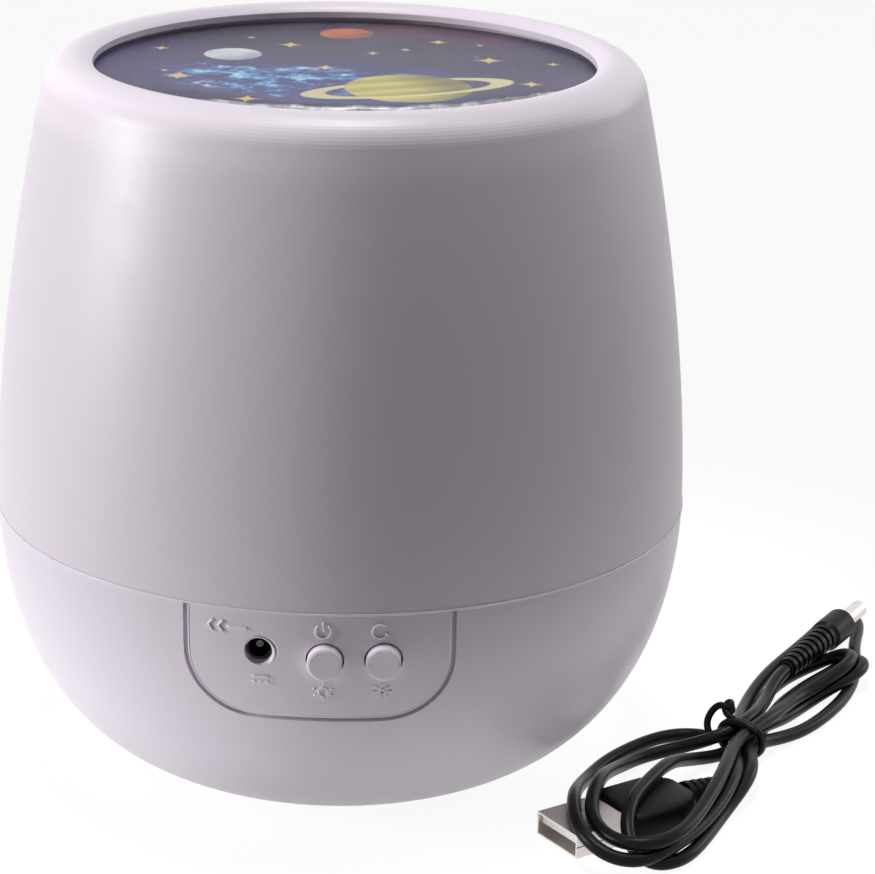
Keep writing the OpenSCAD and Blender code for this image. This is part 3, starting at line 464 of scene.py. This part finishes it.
def lay_on_bowl(bm):
    """Lays marks drawn flat (across, up, out) on the round face of the bowl."""
    for vert in bm.verts:
        across, up, out = vert.co
        reach = bowl_radius(up) + out
        vert.co = (across, -math.sqrt(reach * reach - across * across), up)


def wire(name, points, thickness, material, body="root", order=4, resolution=4, sides=5):
    """A round wire along millimetre points, as a curve of one open spline."""
    curve = bpy.data.curves.new(name, "CURVE")
    curve.dimensions = "3D"
    spline = curve.splines.new("NURBS")
    spline.points.add(len(points) - 1)
    for point, place in zip(spline.points, points):
        point.co = (*[v * MM for v in place], 1.0)
    spline.order_u = order
    spline.use_endpoint_u = True
    spline.resolution_u = resolution
    curve.bevel_depth = thickness * MM / 2
    curve.bevel_resolution = sides
    curve.use_fill_caps = True
    curve.materials.append(material)
    piece = placed(name, curve)
    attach(piece, body)
    return piece


# The cable


class NIGHTLIGHT_OT_cable(bpy.types.Operator):
    """Make the loose power cable, tied in a figure of eight, with its two plugs"""

    bl_idname = "night_light.cable"
    bl_label = "Power Cable"
    bl_options = {"REGISTER", "UNDO"}

    def execute(self, context):
        size = settings("cable")
        jacket = moulded("cable_jacket", size.jacket_colour, 0.33, 0.35, 0.008, 0.2, specular_ior_level=0.11)
        thick = size.diameter / MM
        cable = wire("cable", CABLE_ROUTE, thick, jacket)
        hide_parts("cable_hank")
        tie = wire("twist_tie", self.tie_route(thick), size.tie_wire / MM, jacket, resolution=3)
        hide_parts("cable_tie")
        nickel = metal("plug_nickel", (0.74, 0.685, 0.65), 0.42, (0, 0, -USB_HEADING))
        dress(nickel, "dc_plug_barrel")
        dress(self.folded_nickel(), "usb_shell")
        dress(moulded("plug_tongue", (0.84, 0.84, 0.83), 0.45), "usb_tongue")
        grips = moulded("plug_grip", size.jacket_colour, 0.42, 0.3, 0.012, 0.2, specular_ior_level=0.1)
        dress(grips, "usb_strain_relief", "dc_plug_overmould", "dc_strain_relief")
        grip = self.usb_grip(grips)
        return {"FINISHED"}

    def usb_grip(self, material):
        """The rounded grip of the USB plug, narrowing to the strain relief."""
        middle = 3.2
        part = bmesh.new()
        bmesh.ops.create_cube(part, size=1.0)
        bmesh.ops.scale(part, vec=(17.0, 14.2, 6.36), verts=part.verts)
        bmesh.ops.translate(part, vec=(21.0, 0.0, middle), verts=part.verts)
        for cut in (23.5, 26.8):
            whole = part.verts[:] + part.edges[:] + part.faces[:]
            bmesh.ops.bisect_plane(part, geom=whole, plane_co=(cut, 0, 0), plane_no=(1, 0, 0))
        # the far end and the ring before it are drawn in
        level = Matrix.Translation((0, 0, -middle))
        for start, end, across, up in ((29.0, 30.0, 0.5, 0.88), (26.0, 28.0, 0.86, 0.97)):
            ring = [v for v in part.verts if start < v.co.x < end]
            bmesh.ops.scale(part, vec=(1.0, across, up), space=level, verts=ring)
        sharp = [e for e in part.edges if e.calc_face_angle(0.0) > math.radians(40)]
        bmesh.ops.bevel(part, geom=sharp, offset=1.5, segments=4, profile=0.5, affect="EDGES", material=-1)
        place = Matrix.Translation((*USB_MOUTH, 0.0)) @ Matrix.Rotation(USB_HEADING, 4, "Z")
        bmesh.ops.transform(part, matrix=place, verts=part.verts)
        return model(part, "usb_grip", material, replaces=["usb_overmould"])

    def folded_nickel(self):
        """The shell's nickel, with the seam where its sheet is folded together."""
        finish = Finish("shell_nickel", metallic=1.0)
        turn = (0, 0, -USB_HEADING)
        _, v, w = finish.parts(finish.place(centre=(*USB_MOUTH, 3.1), turn=turn))
        drawn = finish.noise(finish.place(turn=turn, scale=(0.08, 1.0, 1.0)), 0.25, 3.0)
        cloud = finish.noise(finish.place(), 4.0, 4.0, 0.6)
        seam = abs(w).ramp(0.06, 0.16, 1.0, 0.0) * v.ramp(-5.98, -5.9, 1.0, 0.0)
        tone = finish.mix(cloud.ramp(0.3, 0.7), (0.68, 0.63, 0.60), (0.76, 0.70, 0.665))
        tone = finish.mix(seam, tone, (0.08, 0.07, 0.06))
        return finish.surface(tone, 0.42 + (cloud - 0.5) * 0.12, drawn, 0.006)

    def tie_route(self, thick):
        """Two turns round the bundle, a knot on the lamp's side and a small open loop."""
        middle = Vector((*middle_mm("cable_tie")[:2], 0))
        heading, start, steps = math.radians(56), math.radians(150), 24
        along = Vector((math.cos(heading), math.sin(heading), 0))
        across = Vector((-along.y, along.x, 0))
        route = []
        for i in range(steps + 1):
            turn = math.tau * 2 * i / steps + start
            x = 4.7 * math.copysign(abs(math.cos(turn)) ** 0.8, math.cos(turn))
            z = 4.1 + 3.45 * math.copysign(abs(math.sin(turn)) ** 0.8, math.sin(turn))
            route.append(middle + across * x + along * (0.75 - 1.5 * i / steps) + Vector((0, 0, z)))
        # the knot and the loop: across the bundle, along it and up
        knot = (
            (4.6, 0.9, 7.6), (4.9, 1.7, 8.6), (4.1, 2.5, 9.2), (3.3, 2.0, 8.5), (3.8, 1.2, 7.7), (5.0, 1.5, 8.1),
            (5.1, 2.4, 9.2), (4.2, 2.6, 9.9), (3.6, 1.9, 9.2), (4.4, 1.3, 8.6), (5.4, 1.8, 9.0), (6.4, 1.6, 8.8),
            (7.3, 1.0, 7.8), (7.8, 0.3, 6.3), (7.8, -0.2, 4.8), (7.0, -0.5, 3.4), (5.9, -0.5, 2.4),
        )
        for x, y, z in knot:
            route.append(middle + across * x + along * y + Vector((0, 0, z)))
        return route


# The body


class NIGHTLIGHT_OT_bowl(bpy.types.Operator):
    """Finish the bowl-shaped base, its panel and bottom, and add the proud lip at the seam"""

    bl_idname = "night_light.bowl"
    bl_label = "Base"
    bl_options = {"REGISTER", "UNDO"}

    def execute(self, context):
        size = settings("body")
        gloss = moulded("bowl_gloss", size.bowl_colour, 0.36, 0.8, 0.003, 0.008, specular_ior_level=0.35)
        dress(gloss, "base_shell", "control_panel")
        plain = moulded("panel_plastic", size.bowl_colour, 0.34, 0.6, 0.006, 0.012)
        dress(plain, "bottom_plate", "battery_door")
        dress(moulded("foot_rubber", (0.05, 0.05, 0.054), 0.75, 0.3, 0.02, 0.2), "rubber_feet")
        rise, high = size.lip_rise / MM, size.lip_height / MM
        top = SEAM_Z + 0.14
        profile = [(BODY_R - 0.6, top - high), (BODY_R - 0.02, top - high)]
        for out, down in ((0.7, 0.75), (1.0, 0.4), (0.8, 0.1), (0.3, 0.0)):
            profile.append((BODY_R + rise * out, top - high * down))
        profile.append((BODY_R - 0.6, top))
        model(spun(profile, 192), "seam_lip", gloss)
        return {"FINISHED"}


class NIGHTLIGHT_OT_marks(bpy.types.Operator):
    """Add the raised marks on the panel: chevrons, direct current, power, turn, lamp and brightness"""

    bl_idname = "night_light.marks"
    bl_label = "Panel Marks"
    bl_options = {"REGISTER", "UNDO"}

    def execute(self, context):
        size = settings("body")
        across, _, up = middle_mm("dc_jack_pin")
        self.signs(size, across, up)
        self.panel_edge()
        # the bright chamfer round the jack's hole
        rim = spun([(2.7, -0.5), (2.7, -0.3), (2.96, 0.012), (3.0, -0.02), (3.0, -0.5)], 64)
        bm = bmesh.new()
        add(bm, rim, Matrix.Translation((across, up, 0)))
        lay_on_bowl(bm)
        model(bm, "jack_rim", bpy.data.materials["bowl_gloss"])
        return {"FINISHED"}

    def signs(self, size, jack_x, jack_z):
        """The signs round the buttons and the jack, drawn flat and laid on the bowl."""
        high, line = size.mark_rise / MM, size.mark_line / MM
        power, mode = middle_mm("power_button"), middle_mm("mode_button")
        bm = bmesh.new()
        # power: an open ring with a bar
        x, z = power[0] - 0.25, power[2] + 5.65
        arc(bm, (x, z), 1.35, line, high, math.radians(128), math.radians(284))
        bar(bm, (x, z), (x, z + 1.75), line, high)
        # turn: an open ring that ends in an arrow
        x, z = mode[0] - 0.6, mode[2] + 5.6
        arc(bm, (x, z), 1.3, line, high, math.radians(50), math.radians(270))
        wedge(bm, (x + 1.1, z - 0.75), 0.62, math.radians(20), high)
        # lamp: a bulb with rays
        x, z = power[0] - 0.3, power[2] - 6.4
        arc(bm, (x, z + 0.2), 0.8, line, high, math.radians(-60), math.radians(300))
        bar(bm, (x - 0.42, z - 0.75), (x + 0.42, z - 0.75), line, high)
        bar(bm, (x - 0.34, z - 1.3), (x + 0.34, z - 1.3), line, high)
        for turn in (-25, 20, 90, 160, 205):
            ray(bm, (x, z + 0.2), math.radians(turn), 1.3, 1.9, line * 0.8, high)
        # brightness: a small sun
        x, z = mode[0] - 0.2, mode[2] - 6.3
        arc(bm, (x, z), 0.5, line, high)
        for i in range(8):
            ray(bm, (x, z), math.tau * i / 8, 0.95, 1.65, line * 0.8, high)
        # direct current: a line over three dashes
        x, z = jack_x + 0.4, jack_z - 5.4
        bar(bm, (x - 1.5, z + 0.7), (x + 1.5, z + 0.7), line, high)
        for step in (-1.15, 0.0, 1.15):
            bar(bm, (x + step - 0.35, z - 0.4), (x + step + 0.35, z - 0.4), line, high)
        # which way the shade turns off: two chevrons and a line
        z = 47.3
        bar(bm, (-15.8, z), (-12.2, z), line, high)
        for x in (-17.4, -19.2):
            bar(bm, (x + 0.9, z + 1.1), (x, z), line, high)
            bar(bm, (x, z), (x + 0.9, z - 1.1), line, high)
        lay_on_bowl(bm)
        # the marks are painted lighter than the bowl: a painted highlight for the light that their raised edges
        # catch
        edges = moulded("marks_painted_highlight", tinted(size.bowl_colour, 1.14), 0.24, 0.8, 0.003, 0.008)
        model(bm, "panel_marks", edges)

    def panel_edge(self):
        """The rounded edge of the panel, along the groove."""
        half, low, top, corner = PANEL_TOP[0] - 0.02, PANEL_LOW[2] + 0.02, SEAM_Z - 0.5, 11.5
        edge = [(-half, top - i * (top - low - corner) / 6) for i in range(6)]
        for i in range(13):
            turn = i * math.pi / 24
            edge.append((-half + corner - corner * math.cos(turn), low + corner - corner * math.sin(turn)))
        edge += [((half - corner) * (i / 4 - 1), low) for i in range(1, 4)] + [(0.0, low)]
        edge += [(-across, up) for across, up in reversed(edge[:-1])]
        bead = [(across, -math.sqrt((bowl_radius(up) - 0.1) ** 2 - across * across), up) for across, up in edge]
        # the bead takes the marks' lighter colour: a painted highlight along the panel's rounded edge
        wire("panel_edge", bead, 0.42, bpy.data.materials["marks_painted_highlight"])


class NIGHTLIGHT_OT_controls(bpy.types.Operator):
    """Finish the buttons, the jack and the parts behind the panel"""

    bl_idname = "night_light.controls"
    bl_label = "Controls"
    bl_options = {"REGISTER", "UNDO"}

    def execute(self, context):
        size = settings("body")
        caps = moulded("button_caps", tinted(size.bowl_colour, 1.08), 0.26, 0.5, 0.004, 0.01)
        dress(caps, "power_button", "mode_button")
        black = moulded("black_moulding", (0.012, 0.012, 0.013), 0.4, 0.4, 0.01, 0.2)
        dress(black, "dc_jack", "tact_switches", "board_parts")
        board = Finish("circuit_board", roughness=0.35)
        run = board.noise(board.place(scale=(1.0, 1.0, 0.25)), 1.6, 0.0)
        track = abs(run - 0.5).ramp(0.03, 0.05, 1.0, 0.0)
        board.surface(board.mix(track, (0.012, 0.11, 0.04), (0.02, 0.2, 0.075)), None, track, 0.02)
        dress(board.material, "control_board")
        steel = metal("plated_steel", (0.62, 0.61, 0.6), 0.3)
        dress(steel, "contact_plates", "contact_springs", "motor_shaft")
        dress(steel, "deck_screws", "plate_screws", "motor_screws", "board_screws")
        dress(metal("jack_pin", (0.1, 0.095, 0.09), 0.4), "dc_jack_pin")
        dress(metal("motor_can", (0.55, 0.55, 0.56), 0.38), "gear_motor")
        dress(moulded("red_lead", (0.5, 0.02, 0.02), 0.4, 0.4, 0.01, 0.1), "red_leads")
        dress(moulded("black_lead", (0.015, 0.015, 0.016), 0.4, 0.4, 0.01, 0.2), "black_leads")
        return {"FINISHED"}


class NIGHTLIGHT_OT_shade(bpy.types.Operator):
    """Finish the milky shade that twists off"""

    bl_idname = "night_light.shade"
    bl_label = "Shade"
    bl_options = {"REGISTER", "UNDO"}

    def execute(self, context):
        size = settings("body")
        # milky plastic with painted light: the base colour is painted whiter over the shoulder under the rim
        # than on the wall, standing in for light that comes in at the rim and glows in the milky plastic
        milk = Finish("shade_milk")
        _, _, z = milk.parts(milk.place())
        # thick is the mask of this painted glow over the shoulder, not of a thicker wall
        thick = z.ramp(122.5, 128.5) * z.ramp(132.8, 134.7, 1.0, 0.0)
        flow = milk.noise(milk.place(), 28.0, 3.0).ramp(0.3, 0.7, 0.0, 0.03)
        fine, wear = milk.noise(milk.place(), 0.45, 2.0), milk.noise(milk.place(), 6.0, 4.0, 0.6)
        tone = milk.mix(thick * 0.9 + flow, size.shade_colour, tinted(size.shade_colour, 1.13))
        dress(milk.surface(tone, 0.42 + (wear - 0.5) * 0.13, fine, 0.006), "shade")
        dress(moulded("white_moulding", (0.78, 0.78, 0.77), 0.45, 0.6, 0.01), "film_ring", "deck", "led_post")
        return {"FINISHED"}


class NIGHTLIGHT_OT_window(bpy.types.Operator):
    """Print the night sky under the clear window"""

    bl_idname = "night_light.window"
    bl_label = "Printed Window"
    bl_options = {"REGISTER", "UNDO"}

    # Height of the film's edge in millimetres, by the angle in degrees from the side near the camera.
    MARGIN = (
        (-42.0, 0.3), (-38.0, 1.55), (-30.0, 2.0), (-20.0, 2.3), (0.0, 2.5),
        (25.0, 2.4), (40.0, 2.1), (50.0, 1.75), (56.0, 1.2), (58.0, 0.3),
    )
    # Stars of the print: x, y and reach in millimetres.
    SOFT_STARS = (
        (-26.0, -12.0, 1.6), (-20.0, 30.0, 1.5), (2.0, 38.0, 1.7), (10.0, 22.0, 1.5),
        (-33.0, -2.0, 1.2), (30.0, -18.0, 1.3), (-8.0, -30.0, 1.8), (24.0, 28.0, 1.2),
    )
    SPARKLES = (
        (-30.0, -6.0, 3.6), (-12.0, 24.0, 3.0), (26.0, 14.0, 3.4), (-4.0, 4.0, 2.6), (-16.0, -24.0, 3.2),
        (34.0, -6.0, 2.8), (16.0, 30.0, 2.4), (-36.0, 18.0, 2.2), (4.0, 18.0, 1.8), (-24.0, -14.0, 1.8),
        (38.0, 12.0, 1.8),
    )
    # Moons of the print: x, y and radius in millimetres, and the colours of the lit and the dark side.
    MOONS = (
        (-22.0, 14.0, 5.4, (0.92, 0.95, 1.0), (0.3, 0.36, 0.5)),
        (-2.0, 36.0, 5.2, (0.75, 0.2, 0.06), (0.12, 0.03, 0.05)),
    )

    def execute(self, context):
        clear = Finish("window_clear", base_color=(0.31, 0.29, 0.37), ior=1.49)
        haze = clear.noise(clear.place(), 9.0, 3.0)
        clear.surface(None, haze.ramp(0.3, 0.7, 0.06, 0.14), alpha=haze.ramp(0.3, 0.7, 0.09, 0.12))
        dress(clear.material, "window_lens")
        # the pane is spun in rings, so that its polish is even
        low, high, wide = LENS_LOW[2] + 0.08, LENS_TOP[2], LENS_TOP[0]
        profile = [(0.0, low), (20.0, low), (wide - 0.1, low), (wide, low + 0.1)]
        profile += [(wide, high - 0.25), (wide - 0.25, high)] + [(r, high) for r in RINGS]
        pane = spun(profile, 128, closed=False)
        model(pane, "window_pane", clear.material, "shade", ["window_lens"])
        self.film_margin()
        low, high, wide = FILM_LOW[2] + 0.02, FILM_TOP[2] - 0.02, FILM_TOP[0]
        profile = [(0.0, low), (wide, low), (wide, high)] + [(r, high) for r in RINGS]
        sky = self.night_sky(settings("print"))
        sheet = spun(profile, 128, closed=False)
        model(sheet, "sky_sheet", sky, "shade", ["sky_film"], smooth=False)
        return {"FINISHED"}

    def night_sky(self, size):
        """The printed picture, seen from above with x to the right and y to the back."""
        sky = Finish("sky_print", roughness=0.4, specular_ior_level=0.15)
        here = sky.place()
        x, y, _ = sky.parts(here)
        flow = sky.noise(sky.place(turn=(0, 0, math.radians(18)), scale=(0.5, 1.0, 1.0)), 15.0, 10.0, 0.66)
        wisps = sky.noise(here, 4.5, 8.0, 0.72)
        tint = sky.noise(here, 20.0, 4.0)
        ground = sky.mix(tint.ramp(0.38, 0.62), size.sky_colour, (0.032, 0.013, 0.1))
        ground = sky.mix(y.ramp(6.0, 44.0) * 0.7, ground, (0.012, 0.008, 0.016))
        # a star cloud that drifts across the left and the front
        lane = abs(y * 0.92 + x * 0.3 + 9.0).ramp(3.0, 30.0, 1.0, 0.0)
        lane = lane * (x * -1.0).ramp(-46.0, 14.0, 0.35, 1.0) * x.ramp(-43.0, -24.0, 0.45, 1.0)
        glow = (flow * 0.62 + wisps * 0.38 + lane * 0.16 - 0.14).ramp(0.38, 0.62)
        colour = sky.mix(glow * lane, ground, (0.04, 0.07, 0.46))
        colour = sky.mix((glow * lane - 0.36).ramp(0.0, 0.34), colour, size.cloud_colour)
        colour = sky.mix((glow * lane * wisps - 0.3).ramp(0.0, 0.2), colour, (0.66, 0.94, 1.0))
        # a red haze at the back
        haze = ((x - 22.0) * (x - 22.0) * 0.3 + (y - 40.0) * (y - 40.0)).root()
        haze = haze.ramp(4.0, 16.0, 1.0, 0.0)
        colour = sky.mix(haze * flow.ramp(0.35, 0.65) * 0.6, colour, (0.26, 0.045, 0.09))
        # star dust and a few bright soft stars
        for cell, amount in ((1.7, 0.13), (3.4, 0.09)):
            spots = sky.node("ShaderNodeTexVoronoi", {}, {"Vector": here, "Scale": 1.0 / cell})
            dust = spots.ramp(amount * 0.5, amount, 1.0, 0.0) * wisps.ramp(0.48, 0.6)
            colour = sky.mix(dust * 0.8, colour, (0.72, 0.78, 0.98))
        for sx, sy, reach in self.SOFT_STARS:
            far = ((x - sx) * (x - sx) + (y - sy) * (y - sy)).root()
            colour = sky.mix(far.ramp(0.0, reach, 1.0, 0.0) ** 2.2, colour, (0.86, 0.92, 1.0))
        # sparkles: four-pointed stars
        for sx, sy, reach in self.SPARKLES:
            arm = (abs(x - sx) / reach).root() + (abs(y - sy) / reach).root()
            colour = sky.mix(arm.ramp(0.98, 1.06, 1.0, 0.0), colour, (0.86, 0.66, 0.2))
        colour = self.planet(sky, size, colour, x, y, wisps)
        for mx, my, mr, light, dark in self.MOONS:
            dx, dy = x - mx, y - my
            far = (dx * dx + dy * dy).root()
            crater = wisps.ramp(0.4, 0.6)
            face = sky.mix((dx - dy).ramp(-mr * 0.4, mr * 1.5) * 0.8 + crater * 0.2, light, dark)
            colour = sky.mix(far.ramp(mr - 0.2, mr + 0.2, 1.0, 0.0), colour, face)
        return sky.surface(colour)

    def planet(self, sky, size, colour, x, y, wisps):
        """Puts the ringed planet into the picture."""
        px, py, pr = 12.0, -12.0, 11.5
        dx, dy = x - px, y - py
        cos, sin = math.cos(math.radians(24)), math.sin(math.radians(24))
        u, v = dx * cos + dy * sin, dy * cos - dx * sin
        far = (dx * dx + dy * dy).root()
        ball = far.ramp(pr - 0.25, pr + 0.25, 1.0, 0.0)
        stripes = (v * 1.1 + (wisps - 0.5) * 3.0).sine() * 0.5 + 0.5
        shadow = (u + far * 0.35).ramp(-2.0, pr * 1.1)
        skin = sky.mix(stripes, size.planet_colour, (0.50, 0.52, 0.14))
        skin = sky.mix(shadow * 0.75, skin, (0.12, 0.10, 0.06))
        hoop = ((u * u) + (v * v) * 9.0).root()
        ringed = hoop.ramp(pr * 1.35, pr * 1.4) * hoop.ramp(pr * 1.75, pr * 1.8, 1.0, 0.0)
        behind = ball * v.ramp(-0.1, 0.1)
        colour = sky.mix(ball, colour, skin)
        return sky.mix(ringed * (1.0 - behind) * 0.9, colour, (0.93, 0.84, 0.42))

    def film_margin(self):
        """The silvery edge of the film, which stands up in soft waves along the front of the window."""
        finish = Finish("film_edge", metallic=0.35)
        streak = finish.noise(finish.place(scale=(1.0, 1.0, 0.3)), 2.6, 4.0, 0.6)
        tone = finish.mix(streak.ramp(0.35, 0.65), (0.2, 0.2, 0.22), (0.5, 0.5, 0.53))
        finish.surface(tone, 0.4 + streak * 0.1, streak, 0.02)
        foot, top = LENS_TOP[2] - 0.02, 2.3
        start, near, sweep = -128.0, -86.0, 100.0
        profile = (
            (45.7, 0.0), (45.5, 0.4), (45.1, 0.8), (44.5, 1.0),
            (44.4, 0.96), (44.95, 0.74), (45.35, 0.4), (45.55, 0.0),
        )
        part = spun([(radius, foot + top * share) for radius, share in profile], 150, math.radians(sweep))
        turned = Matrix.Rotation(math.radians(start), 3, "Z")
        bmesh.ops.rotate(part, cent=(0, 0, 0), matrix=turned, verts=part.verts)
        for vert in part.verts:
            turn = math.degrees(math.atan2(vert.co.y, vert.co.x)) - near
            along = bisect.bisect_right(self.MARGIN, (turn, 99.0)) - 1
            a, low = self.MARGIN[max(0, along)]
            b, high = self.MARGIN[min(len(self.MARGIN) - 1, along + 1)]
            height = low + (high - low) * ((turn - a) / (b - a) if b > a else 0.0)
            waves = (0.1 * math.sin(turn * 0.42 + 0.6), 0.06 * math.sin(turn * 0.97))
            height += waves[0] * min(1.0, height) + waves[1] * min(1.0, height)
            rise = (vert.co.z - foot) / top * height
            vert.co.z = foot + rise
            sway = 1.0 - 0.004 * math.sin(turn * 0.37) * min(1.0, rise)
            vert.co.x *= sway
            vert.co.y *= sway
        model(part, "film_margin", finish.material, "shade")


class NIGHTLIGHT_OT_projector(bpy.types.Operator):
    """Finish the turntable, its clear dome and star film, and the lamp column"""

    bl_idname = "night_light.projector"
    bl_label = "Projector"
    bl_options = {"REGISTER", "UNDO"}

    def execute(self, context):
        dress(moulded("gear_acetal", (0.76, 0.75, 0.70), 0.42, 0.6, 0.008), "turntable", "drive_pinion")
        clear = Finish("dome_clear", base_color=(0.85, 0.9, 0.97), ior=1.49)
        flow = clear.noise(clear.place(), 12.0, 3.0)
        clear.surface(None, flow.ramp(0.3, 0.7, 0.05, 0.12), alpha=flow.ramp(0.3, 0.7, 0.16, 0.22))
        dress(clear.material, "projection_dome")
        film = Finish("star_film", roughness=0.35)
        spots = film.node("ShaderNodeTexVoronoi", {}, {"Vector": film.place(), "Scale": 1.0 / 9.0})
        flow = film.noise(film.place(), 12.0, 4.0)
        night = film.mix(flow.ramp(0.35, 0.65), (0.01, 0.014, 0.06), (0.02, 0.04, 0.16))
        star = spots.ramp(0.12, 0.16, 1.0, 0.0)
        film.surface(film.mix(star, night, (0.75, 0.72, 0.5)), None, flow, 0.004)
        dress(film.material, "star_film")
        dress(moulded("lamp_board", (0.8, 0.8, 0.78), 0.4, 0.6, 0.006), "led_board")
        lamps = moulded("lamp_lens", (0.8, 0.68, 0.25), 0.2, 1.2, 0.004, 0.05, coat_weight=0.3)
        dress(lamps, "projection_led", "ring_leds")
        return {"FINISHED"}


# The stage


class NIGHTLIGHT_OT_stage(bpy.types.Operator):
    """Set the camera, the pale floor and the soft lights"""

    bl_idname = "night_light.stage"
    bl_label = "Stage"
    bl_options = {"REGISTER", "UNDO"}

    def execute(self, context):
        size = settings("stage")
        scene = context.scene
        scene.view_settings.view_transform = "Standard"
        camera = bpy.data.cameras.new("camera")
        camera.sensor_width = 36.0
        camera.sensor_fit = "HORIZONTAL"
        camera.lens = size.lens
        camera.clip_start = 0.01
        viewer = placed("camera", camera)
        heading = Matrix.Rotation(size.camera_heading, 4, "Z")
        pitch = Matrix.Rotation(math.radians(90) - size.camera_pitch, 4, "X")
        roll = Matrix.Rotation(size.camera_roll, 4, "Z")
        viewer.matrix_world = Matrix.Translation(size.camera_place) @ heading @ pitch @ roll
        scene.camera = viewer
        self.floor()
        self.room(scene, size.fill)
        self.light("key", (-1.15, -0.21, 0.28), size.key)
        self.light("top", (0.0, 0.0, 1.27), size.top)
        self.light("rim", (0.95, 0.55, 0.32), size.rim)
        self.light("side", (0.6, 0.0, 1.1), size.rim)
        return {"FINISHED"}

    def floor(self):
        """A table that looks evenly white and darkens away from the lamp for the light it throws back."""
        bm = bmesh.new()
        bmesh.ops.create_grid(bm, x_segments=1, y_segments=1, size=4.0)
        mesh = bpy.data.meshes.new("floor")
        bm.to_mesh(mesh)
        bm.free()
        floor = placed("floor", mesh)
        finish = Finish("floor_white", roughness=0.9)
        x, y, _ = finish.parts(finish.place())
        far = (x * x + y * y).root()
        finish.surface(finish.mix(far.ramp(75.0, 215.0), (0.86, 0.86, 0.86), (0.12, 0.12, 0.12)))
        paths = finish.node("ShaderNodeLightPath").output.node.outputs
        lit = finish.node("ShaderNodeEmission", {}, {"Color": (1.0, 1.0, 1.0, 1.0), "Strength": 1.12})
        camera, glossy, through = (
            Value(finish, paths[ray]) for ray in ("Is Camera Ray", "Is Glossy Ray", "Is Transmission Ray")
        )
        shown = camera.most(glossy).most(through)
        # the lit table throws light up at the bowl from the right
        glow = x.ramp(28.0, 66.0) * far.ramp(90.0, 170.0, 1.0, 0.0) * 0.9
        share = shown * 0.82 + (1.0 - shown) * glow
        plain = Value(finish, finish.shader.outputs[0])
        blended = finish.node("ShaderNodeMixShader", {}, {0: share, 1: plain, 2: lit})
        finish.tree.links.new(blended.output, finish.tree.nodes["Material Output"].inputs["Surface"])
        mesh.materials.append(finish.material)

    def room(self, scene, fill):
        """A room that is white where it is seen, and lights objects by the fill only."""
        world = bpy.data.worlds.new("room")
        scene.world = world
        world.use_nodes = True
        tree = world.node_tree
        rays = tree.nodes.new("ShaderNodeLightPath").outputs
        seen, clear = (tree.nodes.new("ShaderNodeMath") for _ in range(2))
        seen.operation = clear.operation = "MAXIMUM"
        level = tree.nodes.new("ShaderNodeMapRange")
        level.inputs["To Min"].default_value = fill
        level.inputs["To Max"].default_value = 1.0
        background = tree.nodes["Background"]
        background.inputs["Color"].default_value = (1.0, 1.0, 1.0, 1.0)
        for output, socket in (
            (rays["Is Camera Ray"], seen.inputs[0]),
            (rays["Is Glossy Ray"], clear.inputs[0]),
            (rays["Is Transmission Ray"], clear.inputs[1]),
            (clear.outputs[0], seen.inputs[1]),
            (seen.outputs[0], level.inputs["Value"]),
            (level.outputs[0], background.inputs["Strength"]),
        ):
            tree.links.new(output, socket)

    def light(self, name, place, power):
        """A round soft light that points at the middle of the lamp."""
        lamp = bpy.data.lights.new(name, "AREA")
        lamp.shape = "DISK"
        lamp.size = 0.4
        lamp.energy = power
        holder = placed(name, lamp)
        holder.location = place
        way = Vector((0, 0, 0.07)) - Vector(place)
        holder.rotation_euler = way.to_track_quat("-Z", "Y").to_euler()


class NIGHTLIGHT_PT_panel(bpy.types.Panel):
    """The add-on's panel in the sidebar"""

    bl_label = "Night Light"
    bl_idname = "NIGHTLIGHT_PT_panel"
    bl_space_type = "VIEW_3D"
    bl_region_type = "UI"
    bl_category = "Night Light"

    def draw(self, context):
        for group, operators in PANEL_ROWS:
            box = self.layout.box()
            values = getattr(context.scene, "night_light_" + group)
            for name in values.__annotations__:
                box.prop(values, name)
            for operator in operators:
                box.operator(operator.bl_idname)


PANEL_ROWS = (
    ("stage", (NIGHTLIGHT_OT_stage,)),
    ("cable", (NIGHTLIGHT_OT_cable,)),
    ("body", (NIGHTLIGHT_OT_bowl, NIGHTLIGHT_OT_marks, NIGHTLIGHT_OT_controls, NIGHTLIGHT_OT_shade)),
    ("print", (NIGHTLIGHT_OT_window, NIGHTLIGHT_OT_projector)),
)
GROUPS = {"stage": StageSettings, "body": BodySettings, "print": PrintSettings, "cable": CableSettings}
OPERATORS = [operator for _, operators in PANEL_ROWS for operator in operators]


def register():
    for group in GROUPS.values():
        bpy.utils.register_class(group)
    for operator in OPERATORS:
        bpy.utils.register_class(operator)
    bpy.utils.register_class(NIGHTLIGHT_PT_panel)
    for name, group in GROUPS.items():
        setattr(bpy.types.Scene, "night_light_" + name, PointerProperty(type=group))


def unregister():
    for name in GROUPS:
        delattr(bpy.types.Scene, "night_light_" + name)
    bpy.utils.unregister_class(NIGHTLIGHT_PT_panel)
    for operator in reversed(OPERATORS):
        bpy.utils.unregister_class(operator)
    for group in reversed(list(GROUPS.values())):
        bpy.utils.unregister_class(group)


def main():
    register()
    bpy.ops.night_light.stage()
    bpy.ops.night_light.cable()
    bpy.ops.night_light.bowl()
    bpy.ops.night_light.marks()
    bpy.ops.night_light.controls()
    bpy.ops.night_light.shade()
    bpy.ops.night_light.window()
    bpy.ops.night_light.projector()


if __name__ == "__main__":
    main()
